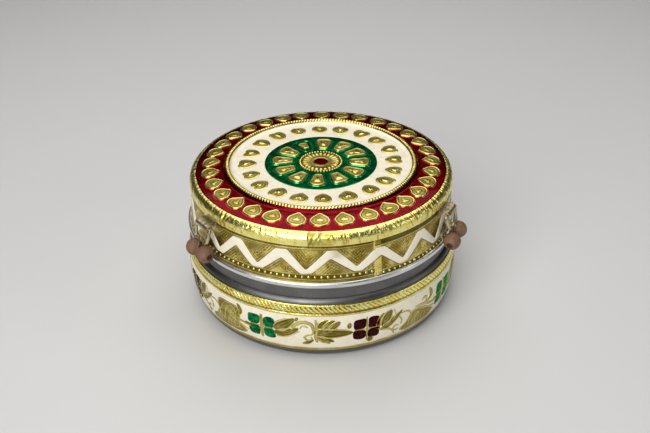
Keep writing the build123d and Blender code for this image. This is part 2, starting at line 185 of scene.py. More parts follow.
def on_wall(wall, azimuth, height=0.0):
    """A place on a side wall: u runs anticlockwise, v up and h out from the foil."""

    def place(u, v, h):
        level = height + v
        radius = float(wall(level))
        angle = radians(azimuth) + u / radius
        return (radius + h) * cos(angle), (radius + h) * sin(angle), level

    return place


# Meshes

def added(name, data):
    """A new object in the scene."""
    made = bpy.data.objects.new(name, data)
    bpy.context.scene.collection.objects.link(made)
    return made


class Sheet:
    """Points and faces of one piece. Each point has a value, 0 in a groove and 1 on a ridge, for
    gloss and for painted highlight and shade.
    """

    def __init__(self):
        self.points, self.faces, self.polish_and_shade = [], [], []

    def loop(self, points, polish_and_shade):
        start = len(self.points)
        self.points.extend(points)
        self.polish_and_shade.extend([polish_and_shade] * len(points))
        return list(range(start, len(self.points)))

    def join(self, lower, upper):
        for k in range(len(lower)):
            n = (k + 1) % len(lower)
            self.faces.append((lower[k], lower[n], upper[n], upper[k]))

    def fan(self, loop, point, polish_and_shade):
        middle = self.loop([point], polish_and_shade)[0]
        for k in range(len(loop)):
            self.faces.append((loop[k], loop[(k + 1) % len(loop)], middle))

    def grid(self, points, polish_and_shade, closed=True):
        """Rows of points, each row a closed outline. The last row joins the first if closed."""
        rows, columns = points.shape[:2]
        index = len(self.points) + np.arange(rows * columns).reshape(rows, columns)
        here, there = (index, np.roll(index, -1, 0)) if closed else (index[:-1], index[1:])
        faces = np.stack([here, there, np.roll(there, -1, 1), np.roll(here, -1, 1)], -1)
        self.points.extend(points.reshape(-1, 3).tolist())
        self.polish_and_shade.extend(np.broadcast_to(polish_and_shade, (rows, columns)).ravel().tolist())
        self.faces.extend(faces.reshape(-1, 4).tolist())
        if not closed:
            self.faces.extend([index[0].tolist(), index[-1].tolist()])

    def turn(self, radii, heights, polish_and_shade=1.0, back=()):
        """A ring round the box's axis. Each row is one azimuth, and each column a point of the
        outline. back closes it from behind with dull points, each a radius and a height."""
        blank = np.zeros((len(radii), 1))
        rear = [(blank + radius, blank + height, blank) for radius, height in back]
        face = np.broadcast_arrays(radii, heights, polish_and_shade)
        radii, heights, polish_and_shade = (np.hstack(layer) for layer in zip(face, *rear))
        angles = around(len(radii))
        points = np.stack([radii * np.cos(angles), radii * np.sin(angles), heights], -1)
        self.grid(points, polish_and_shade)

    def piece(self, name, body, slot, finish, *nodes):
        """Makes the mesh, in metres, and sets it on its CAD body."""
        if not self.faces:
            raise RuntimeError(f"{name} has no faces")
        mesh = bpy.data.meshes.new(name)
        mesh.from_pydata((np.array(self.points) * MM).tolist(), [], self.faces)
        mesh.attributes.new("polish_and_shade", "FLOAT", "POINT").data.foreach_set("value", self.polish_and_shade)
        work = bmesh.new()
        work.from_mesh(mesh)
        bmesh.ops.recalc_face_normals(work, faces=work.faces)
        work.to_mesh(mesh)
        work.free()
        mesh.shade_smooth()
        mesh.set_sharp_from_angle(angle=radians(52))
        mesh.materials.append(finish)
        made = added(name, mesh)
        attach(made, body)
        if nodes:
            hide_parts(*nodes)


def smooth(points, closed=False, steps=6):
    """Points of a curve that passes through the given ones."""
    p = np.array(points, float)
    before = np.roll(p, 1, 0) if closed else np.vstack([2 * p[0] - p[1], p[:-1]])
    after = np.roll(p, -1, 0) if closed else np.vstack([p[1:], 2 * p[-1] - p[-2]])
    beyond = np.roll(p, -2, 0) if closed else np.vstack([p[2:], p[-1:], 2 * p[-1] - p[-2]])
    curve = []
    for k in range(len(p) if closed else len(p) - 1):
        for step in range(steps):
            t = step / steps
            curve.append(0.5 * (
                2 * p[k] + (after[k] - before[k]) * t
                + (2 * before[k] - 5 * p[k] + 4 * after[k] - beyond[k]) * t**2
                + (3 * p[k] - before[k] - 3 * after[k] + beyond[k]) * t**3))
    if not closed:
        curve.append(p[-1])
    return np.array(curve)


def mirrored(side, steps):
    """A smooth closed outline from its points on one side, mirrored in its own axis."""
    return smooth([*side, *[(u, -v) for u, v in side[-2:0:-1]]], closed=True, steps=steps)


def circle(radius, sides):
    """Points of a circle."""
    turns = [2 * pi * k / sides for k in range(sides)]
    return np.array([(radius * cos(t), radius * sin(t)) for t in turns])


def wobbled(outline, draw, amount):
    """The outline with soft unevenness, as foil pressed by hand."""
    phases = [draw.uniform(0, 2 * pi) for _ in range(4)]
    middle = outline.mean(0)
    turned = []
    for k, point in enumerate(outline):
        t = 2 * pi * k / len(outline)
        swell = sum(sin((n + 2) * t + phase) / (n + 1) for n, phase in enumerate(phases))
        turned.append(middle + (point - middle) * (1 + amount * swell))
    return np.array(turned)


def pressed(sheet, place, outline, steps, rise=1.0):
    """Raises an outline from a surface in steps, each an inset, a height and a gloss and painted
    light value.
    """
    middle = outline.mean(0)
    spread = np.hypot(*(outline - middle).T)[:, None]
    lower = None
    for inset, height, polish_and_shade in steps:
        share = np.maximum(0.04, 1 - inset / spread)
        ring = middle + (outline - middle) * share
        upper = sheet.loop([place(u, v, height * rise) for u, v in ring], polish_and_shade)
        if lower is None:
            sheet.faces.append(tuple(reversed(upper)))
        else:
            sheet.join(lower, upper)
        lower = upper
    sheet.fan(lower, place(*middle, steps[-1][1] * rise), steps[-1][2])


def ribbon(sheet, place, line, halves, section, closed=False):
    """Lays a strip along a line on a surface. halves is half its width at each point, and section
    its points across, each a share of the half width, a height and a gloss and painted light value."""
    line = np.array(line, float)
    ahead = np.roll(line, -1, 0) - np.roll(line, 1, 0) if closed else np.gradient(line, axis=0)
    across = np.stack([-ahead[:, 1], ahead[:, 0]], 1) / np.hypot(*ahead.T)[:, None]
    rows = [[place(*(point + normal * half * share), height) for share, height, _ in section]
            for point, normal, half in zip(line, across, halves)]
    sheet.grid(np.array(rows), [polish_and_shade for _, _, polish_and_shade in section], closed)


def both_sides(side, *middle):
    """A ribbon's section from the points of its left side, edge first, and of its middle."""
    return (*side, *middle, *[(-share, height, polish_and_shade) for share, height, polish_and_shade in side[::-1]])


def glazed_line(sheet, place, outline, outwards, half, height):
    """A thin raised line round an outline, this far outside it."""
    line = outline * (1 + outwards / np.hypot(*outline.T)[:, None])
    section = both_sides(((-1, -UNDER, 0.2), (-0.5, height, 1.0)))
    ribbon(sheet, place, line, [half] * len(line), section, closed=True)


def dome(sheet, place, radius, height):
    """A small round pip."""
    pressed(sheet, place, circle(radius, 8), (
        (0.0, -UNDER, 0.1), (0.06 * radius, 0.45 * height, 0.6),
        (0.35 * radius, 0.86 * height, 1.0), (0.7 * radius, height, 1.0)))


# Finishes

def maths(operation, reflected=False):
    """A Python operator that adds a Math node."""

    def operator(self, other):
        first, second = (other, self) if reflected else (self, other)
        return self.finish.node("ShaderNodeMath", {"operation": operation}, {0: first, 1: second})

    return operator


class Value:
    """A shader socket that Python's operators work on."""

    def __init__(self, finish, socket):
        self.finish, self.socket = finish, socket

    __add__, __radd__ = maths("ADD"), maths("ADD", reflected=True)
    __sub__, __rsub__ = maths("SUBTRACT"), maths("SUBTRACT", reflected=True)
    __mul__, __rmul__ = maths("MULTIPLY"), maths("MULTIPLY", reflected=True)


class Finish:
    """A material under way, with its shader's even values set at once."""

    def __init__(self, name, **even):
        self.material = bpy.data.materials.new(name)
        self.material.use_nodes = True
        self.tree = self.material.node_tree
        self.shader = self.tree.nodes["Principled BSDF"]
        for socket, value in even.items():
            self.set(socket.replace("_", " ").title().replace("Ior", "IOR"), value)

    def feed(self, socket, value):
        if isinstance(value, Value):
            self.tree.links.new(value.socket, socket)
        else:
            socket.default_value = value

    def set(self, socket, value):
        self.feed(self.shader.inputs[socket], value)

    def node(self, kind, options, inputs, output=0):
        """Adds a node: its options first, then the values or links of its sockets."""
        made = self.tree.nodes.new(kind)
        for name, value in options.items():
            if name == "stops":
                for element, (position, level) in zip(made.color_ramp.elements, value):
                    element.position, element.color = position, (level, level, level, 1)
            else:
                setattr(made, name, value)
        for name, value in inputs.items():
            self.feed(made.inputs[name], value)
        return Value(self, made.outputs[output])

    def place(self, stretch=(1, 1, 1)):
        """The piece's own coordinates, stretched."""
        at = self.node("ShaderNodeTexCoord", {}, {}, "Object")
        return self.node("ShaderNodeMapping", {}, {"Vector": at, "Scale": stretch})

    def noise(self, size, detail=3.0, stretch=(1, 1, 1), roughness=0.5):
        """Cloudy noise with patches of about this many millimetres."""
        return self.node("ShaderNodeTexNoise", {}, {
            "Vector": self.place(stretch), "Scale": 1 / (size * MM), "Detail": detail,
            "Roughness": roughness}, "Fac")

    def wave(self, size, direction):
        """Slightly wavy ribs this many millimetres apart."""
        return self.node(
            "ShaderNodeTexWave", {"wave_type": "BANDS", "bands_direction": direction},
            {"Vector": self.place(), "Scale": pi / (10 * size * MM), "Distortion": 0.6}, "Fac")

    def ramp(self, value, low, high):
        """0 below low and 1 above high."""
        return self.node("ShaderNodeValToRGB", {"stops": ((low, 0.0), (high, 1.0))}, {0: value})

    # Each point's value for gloss and for painted highlight and shade
    def polish_and_shade(self):
        return self.node("ShaderNodeAttribute", {"attribute_name": "polish_and_shade"}, {}, "Fac")

    def mix(self, share, first, second):
        """A colour between two."""
        return self.node("ShaderNodeMix", {"data_type": "RGBA"}, {0: share, 6: first, 7: second}, 2)

    def bump(self, height, depth):
        """Normal of a surface with this height, depth millimetres deep."""
        return self.node("ShaderNodeBump", {}, {
            "Height": height, "Distance": depth * MM, "Strength": 1.0}, "Normal")


def colour(values):
    """A property's colour with its alpha."""
    return (*values, 1.0)


def shaded(values, factor):
    """A darker or lighter shade of a colour."""
    return (*[min(1.0, v * factor) for v in values], 1.0)


def gilt(name, colours, grain, crinkle, dull=0.0, shade=1.0, crease=1.0):
    """Gilt foil with fine grain and soft crinkles, duller in grooves, with painted highlight on
    ridges and painted shade in grooves.
    """
    foil = Finish(name, metallic=1.0)
    polish_and_shade = foil.polish_and_shade()
    fine, soft = foil.noise(grain, 4.0), foil.noise(crinkle, 3.0)
    worn = foil.ramp(foil.noise(7.0, 5.0), 0.42, 0.62)
    # The shade factor makes the whole foil lighter or darker, as painted light and shade.
    tone = foil.mix(worn, shaded(colours.gold, shade), shaded(colours.pale_gold, shade))
    # Painted highlight: the ridges are lightened towards pale gold.
    lit = foil.mix(foil.ramp(polish_and_shade, 0.7, 1.0) * 0.7, tone, shaded(colours.pale_gold, 1.15))
    # Painted shade: the grooves are darkened towards the groove colour.
    groove_shade = (1 - polish_and_shade) * (0.75 + 0.25 * soft)
    foil.set("Base Color", foil.mix(groove_shade, lit, colour(colours.groove)))
    foil.set("Roughness", 0.13 + dull + 0.12 * fine + 0.22 * (1 - polish_and_shade))
    foil.set("Normal", foil.bump(0.3 * fine + soft, 0.09 * crinkle * crease))
    return foil.material


def glassy(name, tone, metal, shine, knurl=0.0, rough=0.16, grit=0.07, patch=5.0, depth=0.25):
    """Transparent enamel over bright foil, in patches paler and darker by this depth. knurl is the
    pitch of the foil's hatching where it shows through."""
    edge_tint = (*[min(1.0, 0.12 + 3.0 * c) for c in tone], 1.0)
    glaze = Finish(
        name, coat_weight=shine, coat_roughness=0.06, metallic=metal, specular_ior_level=0.25,
        specular_tint=edge_tint)
    cloud = glaze.noise(patch, 4.0)
    patches = glaze.ramp(cloud, 0.38, 0.64)
    lit = glaze.mix(patches, shaded(tone, 1 - depth), shaded(tone, 1 + depth))
    if knurl:
        hatch = glaze.wave(knurl, "X") * glaze.wave(knurl, "Y")
        lit = glaze.mix(hatch, lit, shaded(tone, 1.7))
    height = hatch + 0.6 * glaze.noise(0.9, 3.0) if knurl else glaze.noise(2.2, 3.0)
    glaze.set("Base Color", lit)
    glaze.set("Roughness", rough + 0.1 * cloud)
    glaze.set("Normal", glaze.bump(height, grit))
    return glaze.material


def opaque(name, tone, shine):
    """Opaque pale enamel, glossy, uneven, with specks, and a little browner in its low places."""
    glaze = Finish(name, coat_weight=shine, coat_roughness=0.08, specular_ior_level=0.5)
    polish_and_shade = glaze.polish_and_shade()
    cloud, speck = glaze.noise(6.0, 4.0), glaze.ramp(glaze.noise(0.8, 6.0), 0.68, 0.74)
    body = glaze.mix(glaze.ramp(cloud, 0.4, 0.75), colour(tone), shaded(tone, 0.88))
    browned = glaze.mix((1 - polish_and_shade) * 0.5, body, (0.42, 0.33, 0.16, 1))
    glaze.set("Base Color", glaze.mix(speck * 0.5, browned, (0.5, 0.42, 0.22, 1)))
    glaze.set("Roughness", 0.28 + 0.2 * cloud)
    glaze.set("Normal", glaze.bump(glaze.noise(1.8, 3.0), 0.12))
    return glaze.material


def repaint(material, *nodes):
    """Gives CAD nodes a finish."""
    for node in nodes:
        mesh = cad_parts[node].data
        mesh.materials.clear()
        mesh.materials.append(material)


# Settings

def length(name, description, default):
    """A size kept in metres from a default in millimetres."""
    return FloatProperty(
        name=name, description=description, default=default * MM, unit="LENGTH", precision=5)


def count(name, description, default):
    """How many there are of something."""
    return IntProperty(name=name, description=description, default=default)


def tint(name, description, default):
    """A colour."""
    return FloatVectorProperty(
        name=name, description=description, default=default, subtype="COLOR", size=3, min=0, max=1)


def watts(name, description, default):
    """The power of a lamp."""
    return FloatProperty(name=name, description=description, default=default, unit="POWER")


class FruitBoxSizes(PropertyGroup):
    """Sizes and counts of the ornament"""
    boss_height: length("Boss height", "Rise of the bosses over the enamel", 0.85)
    rope_ribs: count("Ring ribs", "Ribs of the top's rope ring", 190)
    teardrops: count("Teardrops", "Bosses in the maroon ring", 32)
    ovals: count("Ovals", "Bosses in the cream ring", 20)
    wedges: count("Wedges", "Bosses in the green ring", 12)
    rosette_petals: count("Rosette petals", "Flutes round the dot", 24)
    rosette_pips: count("Rosette pips", "Pips round the rosette", 44)
    zigzag_flat: length("Zigzag corner", "Half of the flat at each outer corner", 2.5)
    zigzag_periods: count("Zigzag periods", "Peaks round the cap", 18)
    side_seam: FloatProperty(
        name="Side seam", description="Azimuth where the side strip laps", default=radians(291),
        subtype="ANGLE")
    seam_drop: length("Seam step", "How far the side strip's ends are out of line", 2.0)
    side_pips: count("Side pips", "Pips along the cap's side", 144)
    rope_strands: count("Rope strands", "Strands of the bowl's rope", 190)
    white_rise: length("White field rise", "White enamel over the foil", 0.1)
    relief: length("Bowl relief", "Leaves and petals over the foil", 0.27)


class FruitBoxColours(PropertyGroup):
    """Colours of the finishes"""
    gold: tint("Gold", "Gilt foil", (0.58, 0.43, 0.07))
    # Pale gold is also the painted highlight on the foil's ridges.
    pale_gold: tint("Pale gold", "Gilt foil where it is worn bright", (0.93, 0.78, 0.26))
    # The groove colour is painted shade in the foil's low places.
    groove: tint("Grooves", "Dark low places in the foil", (0.06, 0.045, 0.004))
    maroon: tint("Maroon", "Enamel of the outer ring and dark petals", (0.15, 0.001, 0.007))
    green: tint("Green", "Enamel of the inner ring and green petals", (0.0, 0.17, 0.05))
    cream: tint("Cream", "Enamel of the middle ring", (0.90, 0.82, 0.63))
    white: tint("White", "Enamel of the zigzag and the bowl", (0.88, 0.81, 0.64))
    steel: tint("Steel", "Bare steel", (0.52, 0.515, 0.50))
    wire: tint("Wire", "Metal of the ties", (0.68, 0.57, 0.36))
    wood: tint("Wood", "Beads", (0.13, 0.067, 0.034))
    floor: tint("Floor", "Plain floor", (0.62, 0.61, 0.60))


class FruitBoxLight(PropertyGroup):
    """Strength of the studio lights"""
    above: watts("Above", "Large soft light above", 8.0)
    left: watts("Left", "Soft light at the front left", 13.0)
    right: watts("Right", "Soft light at the right", 1.2)
    room: FloatProperty(name="Room", description="Even light from all round", default=0.03)


def settings():
    """The scene's sizes and colours."""
    return bpy.context.scene.fruit_box_sizes, bpy.context.scene.fruit_box_colours


# The cap's top

# Outlines of the bosses about their middles, with u outwards, and the steps each is pressed in
TEARDROP = mirrored((
    (4.7, 0.0), (4.3, 2.4), (3.0, 4.2), (1.1, 4.9), (-0.8, 4.5), (-2.5, 3.1), (-4.1, 1.3),
    (-5.0, 0.0)), steps=3)
# The third number of each step sets the gilt's gloss and its painted highlight or shade there.
TEARDROP_STEPS = (
    (-0.35, -enamel, 0.0), (-0.25, 0.05, 0.1), (-0.05, 0.4, 0.8), (0.2, 0.53, 1.0),
    (0.5, 0.5, 1.0), (0.8, 0.38, 0.1), (1.15, 0.36, 0.2), (1.6, 0.4, 0.4), (2.4, 0.42, 0.45),
    (2.8, 0.36, 0.1), (3.1, 0.36, 0.3), (3.5, 0.46, 0.8))
HEART = mirrored((
    (3.2, 0.0), (3.5, 2.0), (2.2, 3.9), (-0.6, 3.9), (-2.7, 2.2), (-3.8, 0.0)), steps=3)
HEART_STEPS = (
    (-0.5, -enamel, 0.6), (-0.35, 0.03, 0.7), (0.0, 0.1, 0.75), (0.4, 0.2, 0.6), (0.7, 0.22, 0.3),
    (1.1, 0.14, 0.1), (1.6, 0.12, 0.2), (2.1, 0.2, 0.45), (2.5, 0.24, 0.3), (2.8, 0.2, 0.1),
    (3.1, 0.4, 1.0))
KEYSTONE = mirrored((
    (5.5, 0.0), (5.1, 2.7), (3.4, 4.2), (0.0, 3.5), (-4.2, 2.6), (-5.5, 1.7), (-5.7, 0.0)), steps=3)
KEYSTONE_STEPS = (
    (-0.3, -enamel, 0.0), (-0.2, 0.05, 0.2), (0.0, 0.34, 0.8), (0.3, 0.45, 0.9), (0.7, 0.42, 0.6),
    (1.0, 0.26, 0.1), (1.4, 0.26, 0.3), (1.9, 0.34, 0.5), (2.3, 0.28, 0.15), (2.7, 0.3, 0.3),
    (3.1, 0.48, 0.9))
FIRST_TEARDROP, FIRST_HEART, FIRST_KEYSTONE = 89.6, 91.95, 85.7     # their azimuths
BURIED_KEYSTONE = 1     # this one is mostly under the green enamel


def ring_outline(inner, outer, columns, low, high):
    """Radii from inner to outer along the top and back along the bottom, with their heights."""
    radii = np.linspace(inner, outer, columns)
    upper = enamel_height(radii) + high
    lower = enamel_height(radii[[-1, 0]]) + low
    return np.concatenate([radii, radii[[-1, 0]]]), np.concatenate([upper, lower])


class FRUITBOX_OT_top_sheet(Operator):
    """Foil over the cap's top, with its rope ring and rosette"""
    bl_idname = "fruit_box.top_sheet"
    bl_label = "Top foil, rope ring and rosette"

    def execute(self, context):
        sizes, colours = settings()
        sheet = Sheet()
        radii, heights = ring_outline(
            dot_radius / 2, crown_edge, 30, -enamel - FOIL + UNDER, -enamel - UNDER / 2)
        sheet.turn(np.tile(radii, (240, 1)), np.tile(heights, (240, 1)), 0.4)
        self.rope_ring(sheet, sizes)
        self.rosette(sheet, sizes)
        finish = gilt("gilt_top", colours, grain=0.5, crinkle=1.6)
        sheet.piece("lid_top_ornament", "lid", "gilt_foil", finish, "lid_top_foil")
        return {"FINISHED"}

    def rope_ring(self, sheet, sizes):
        """The ribbed ring between the maroon and the cream."""
        angles = around(sizes.rope_ribs * 6)
        rib = np.abs(np.cos(angles * sizes.rope_ribs / 2)) ** 0.6
        uneven = 0.5 + 0.25 * np.sin(angles * 7 + 1.0) + 0.25 * np.sin(angles * 23)
        across = np.linspace(0, pi, 11)[None, :]
        middle, half = (rope_inner + rope_outer) / 2, (rope_outer - rope_inner) / 2 + 0.15
        foot = flat_top - enamel - UNDER
        rise = ridge_top - foot - 0.28 * (1 - rib) - 0.1 * uneven
        radii = middle - half * np.cos(across) * (1 - 0.07 * (1 - rib))
        heights = foot + rise * np.sin(across) ** 0.62
        # Painted highlight along the tops of the ribs, painted shade at their sides and between
        # them.
        sheet.turn(radii, heights, 0.25 + 0.75 * rib * np.sin(across) ** 0.5)

    def rosette(self, sheet, sizes):
        """Fluted petals round the dot, and pips round the petals."""
        angles = around(sizes.rosette_petals * 12)
        flute = np.abs(np.cos(angles * sizes.rosette_petals / 2)) ** 0.7
        share = np.array([0.0, 0.0, 0.08, 0.2, 0.32, 0.45, 0.6, 0.75, 0.88, 0.96, 1.0])[None, :]
        swell = np.array([0.0, 0.45, 0.6, 0.55, 0.45, 0.55, 0.8, 0.9, 0.75, 0.4, 0.0])[None, :]
        outer = rosette_radius - 0.8 + 0.3 * flute
        radii = dot_radius - UNDER + (outer - dot_radius + UNDER) * share
        rise = sizes.boss_height / MM + enamel
        depth = 1 - 0.45 * (1 - flute) * np.clip(share * 3 - 0.6, 0, 1)
        heights = flat_top - enamel - UNDER + (rise + UNDER) * swell * depth
        # Painted highlight on the flutes' crests, painted shade between them.
        sheet.turn(radii, heights, np.clip(swell * (0.25 + 0.75 * flute), 0, 1))
        for k in range(sizes.rosette_pips):
            spot = on_top(rosette_radius + 0.1, 360 * k / sizes.rosette_pips)
            dome(sheet, spot, 0.72, sizes.boss_height / MM * 0.7)


class FRUITBOX_OT_bosses(Operator):
    """Teardrops, ovals and wedges pressed up from the top's foil"""
    bl_idname = "fruit_box.bosses"
    bl_label = "Bosses on the top"

    def execute(self, context):
        sizes, colours = settings()
        draw = Random(32)
        rise = sizes.boss_height / MM / 0.55
        finish = gilt("gilt_bosses", colours, grain=0.45, crinkle=1.1, dull=0.04)
        self.teardrops(sizes.teardrops, draw, rise, finish)
        self.ovals(sizes.ovals, draw, rise, finish)
        self.wedges(sizes.wedges, draw, rise, finish)
        return {"FINISHED"}

    def teardrops(self, number, draw, rise, finish):
        """Drops in the maroon ring, their points inwards, each with a thin glazed line round it."""
        drops, lines = Sheet(), Sheet()
        middle = (rope_outer + crown_edge) / 2
        for k in range(number):
            place = on_top(middle + draw.uniform(-0.25, 0.25),
                           FIRST_TEARDROP + 360 * k / number + draw.uniform(-0.5, 0.5))
            pressed(drops, place, wobbled(TEARDROP, draw, 0.022), TEARDROP_STEPS, rise)
            rim = wobbled(TEARDROP, draw, 0.01)
            glazed_line(lines, place, rim, outwards=0.3, half=0.2, height=0.14)
        drops.piece("teardrop_bosses", "lid", "gilt_foil", finish, "lid_top_foil")
        glazed = glassy("red_glazed_lines", (0.75, 0.03, 0.03), metal=0.85, shine=0.6)
        lines.piece("teardrop_rims", "lid", "maroon_enamel", glazed, "lid_top_foil")

    def ovals(self, number, draw, rise, finish):
        """Rounded hearts in the cream ring, their points inwards."""
        hearts = Sheet()
        middle = (green_radius + rope_inner) / 2
        for k in range(number):
            place = on_top(middle + draw.uniform(-0.6, 0.6),
                           FIRST_HEART + 360 * k / number + draw.uniform(-1.2, 1.2))
            outline = wobbled(HEART, draw, 0.05) * draw.uniform(1.0, 1.14) * (1.15, 1.0)
            pressed(hearts, place, outline, HEART_STEPS, rise)
        hearts.piece("oval_bosses", "lid", "gilt_foil", finish, "lid_top_foil")

    def wedges(self, number, draw, rise, finish):
        """Keystones in the green ring, each with a thin glazed line round it."""
        stones, lines = Sheet(), Sheet()
        middle = (rosette_radius + green_radius) / 2
        for k in range(number):
            place = on_top(middle, FIRST_KEYSTONE + 360 * k / number + draw.uniform(-1, 1))
            shown = 0.6 if k == BURIED_KEYSTONE else 1.0
            outline = wobbled(KEYSTONE, draw, 0.03) * draw.uniform(0.92, 1.02)
            pressed(stones, place, outline * shown, KEYSTONE_STEPS, rise)
            glazed_line(lines, place, outline, outwards=0.85, half=0.42, height=0.24)
        stones.piece("wedge_bosses", "lid", "gilt_foil", finish, "lid_top_foil")
        glazed = glassy("green_glazed_lines", (0.02, 0.42, 0.14), metal=0.85, shine=0.4)
        lines.piece("wedge_outlines", "lid", "green_enamel", glazed, "lid_top_foil")


class FRUITBOX_OT_top_enamels(Operator):
    """Maroon, cream and green enamel rings and the dot on the cap's top"""
    bl_idname = "fruit_box.top_enamels"
    bl_label = "Enamels on the top"

    def execute(self, context):
        _, colours = settings()
        maroon = glassy(
            "maroon_enamel_top", colours.maroon, metal=0.93, shine=0.12, knurl=0.7, rough=0.13,
            grit=0.035, patch=4.0, depth=0.4)
        green = glassy(
            "green_enamel_top", colours.green, metal=0.85, shine=0.15, rough=0.14, grit=0.06,
            patch=3.0, depth=0.45)
        cream = opaque("cream_enamel_top", colours.cream, shine=0.35)
        rings = (
            ("maroon", rope_outer - UNDER, crown_edge, maroon, 0.02, 1.4, 1.9),
            ("cream", green_radius, rope_inner + UNDER, cream, 0.05, 0.9, 1.5),
            ("green", rosette_radius - 1.2, green_radius, green, 0.03, 0.0, 1.0))
        for name, inner, outer, finish, waves, climb, reach in rings:
            node = f"{name}_enamel"
            sheet = Sheet()
            columns = max(12, int((outer - inner) / 0.4))
            radii, heights = ring_outline(inner, outer, columns, -enamel + UNDER / 3, 0.0)
            angles = around(420)
            ripple = np.sin(angles * 37 + radii * 0.9) * np.sin(angles * 16 - radii * 1.3)
            surface = np.concatenate([np.ones(columns), np.zeros(2)])
            edge = np.minimum(radii - radii.min(), radii.max() - radii) < 0.1
            low = waves * (ripple - 1) * surface - 0.06 * edge * surface
            to_ring = np.maximum(radii - rope_outer, rope_inner - radii)
            low = low + climb * np.clip(1 - to_ring / reach, 0, 1) ** 2 * surface
            sheet.turn(radii + 0 * angles, heights + low, 1.0 - 0.3 * edge)
            sheet.piece(f"{name}_ring", "lid", node, finish, node)
        dot = Sheet()
        pressed(dot, on_top(0.0, 0.0), circle(dot_radius, 40), (
            (0.0, -enamel + UNDER / 3, 1.0), (0.0, -0.1, 1.0), (0.5, 0.0, 1.0), (2.0, -0.05, 1.0)))
        dot.piece("centre_dot", "lid", "maroon_enamel", maroon, "centre_enamel")
        return {"FINISHED"}


# The cap's side

ROWS = 1440                  # round the cap's side
CREASES = 260                # of the crinkled strip
EDGE_LAP = 264.7             # azimuth of its lapped end
LAP_LENGTH = 14              # degrees over which the lap fades
SMOOTH_STRETCH = (236, 263)  # azimuths between which the strip lies smooth


class FRUITBOX_OT_edge_strip(Operator):
    """Crinkled gilt strip wrapped round the cap's shoulder"""
    bl_idname = "fruit_box.edge_strip"
    bl_label = "Crinkled edge strip"

    def execute(self, context):
        _, colours = settings()
        draw = Random(7)
        foot = edge_low.z + 1.7
        bulge_height = edge_high.z - 4.0
        turn = np.linspace(0, pi / 2, 12)
        radii = crown_edge + (edge_high.x - crown_edge) * np.sin(turn)
        heights = bulge_height + (edge_high.z - bulge_height) * np.cos(turn)
        foot_radius = edge_high.x - 0.2
        radii = np.concatenate([radii, np.linspace(edge_high.x, foot_radius, 7)[1:]])
        heights = np.concatenate([heights, np.linspace(bulge_height, foot, 7)[1:]])
        outer = len(radii)
        inner_radii = (foot_radius - FOIL, cap_wall(foot) + 0.1, cap_wall(foot + 2), crown_edge)
        inner_heights = (foot, foot + 0.8, foot + 2, edge_high.z - enamel - FOIL)
        radii = np.concatenate([radii, inner_radii])
        heights = np.concatenate([heights, inner_heights])
        angles = around(ROWS, 360)
        dent = np.zeros((ROWS, len(radii)))
        for _ in range(CREASES):
            at, lean = draw.uniform(0, 360), draw.gauss(0, 0.3)
            width, depth = draw.uniform(0.14, 0.4), draw.uniform(0.06, 0.36)
            reach, level = draw.uniform(1.5, 6.0), draw.uniform(foot, edge_high.z)
            if SMOOTH_STRETCH[0] < at < SMOOTH_STRETCH[1]:
                depth *= 0.4
            away = wrapped(angles - at - lean * (heights - bulge_height))
            dent += depth * bell(heights - level, reach) * bell(away, width)
        lap = wrapped(angles - EDGE_LAP)
        dent += 0.28 * ((lap > -0.01) & (lap < LAP_LENGTH)) * (1 - lap / LAP_LENGTH)
        dent += 0.05 * (1 + np.sin(angles * 1.9 + heights * 1.7) * np.sin(angles * 0.83 - heights))
        hidden, straight = np.zeros(len(inner_radii)), outer - len(turn)
        shown = np.concatenate([[0.3, 0.8], np.ones(outer - 4), [0.8, 0.4], hidden])
        inward = np.concatenate([np.sin(turn), np.ones(straight), hidden])
        downward = np.concatenate([np.cos(turn), np.zeros(straight), hidden])
        dent = np.minimum(dent, 0.5) * shown
        sheet = Sheet()
        # Painted shade in the creases: the deeper a dent, the darker and duller its foil.
        polish_and_shade = np.clip(1.12 - 1.9 * dent, 0.15, 1)
        sheet.turn(radii - dent * inward, heights - dent * downward, polish_and_shade)
        # The strip's gilt is painted lighter than the other foil, as painted light.
        finish = gilt(
            "crinkled_gilt", colours, grain=0.7, crinkle=1.7, dull=0.085, shade=1.35, crease=2.0)
        sheet.piece("edge_strip", "lid", "gilt_foil", finish, "lid_edge_foil")
        return {"FINISHED"}


FIRST_PEAK = 294.0           # azimuth of the zigzag's first peak
WORN_PEAK = 276.0            # azimuth of the peak whose enamel is rubbed and stained
UPPER_EDGE = (65.2, 55.0)    # heights of the zigzag's upper edge at a peak and in a valley
LOWER_EDGE = (60.9, 52.8)    # and of its lower edge
CHEVRONS = (52.2, 65.9)      # heights between which the chevrons show
CHEVRON_PITCH = 1.25
SIDE_PIP_HEIGHT = 51.0
SIDE_RIDGES = ((49.4, 0.2, 0.35), (48.4, 0.16, 0.3), (52.3, 0.2, 0.3), (66.3, 0.22, 0.35),
               (65.4, 0.16, 0.25))
cap_mm_per_degree = radians(1) * cap_wall(57.0)


def seam_azimuth(sizes):
    """Where the cap's side strip laps, in degrees."""
    return sizes.side_seam * 180 / pi


def strip_drop(azimuth, sizes):
    """How much lower the cap's side strip runs here: its two ends meet out of line at the seam."""
    return sizes.seam_drop / MM * (1 - (azimuth - seam_azimuth(sizes)) % 360 / 360)


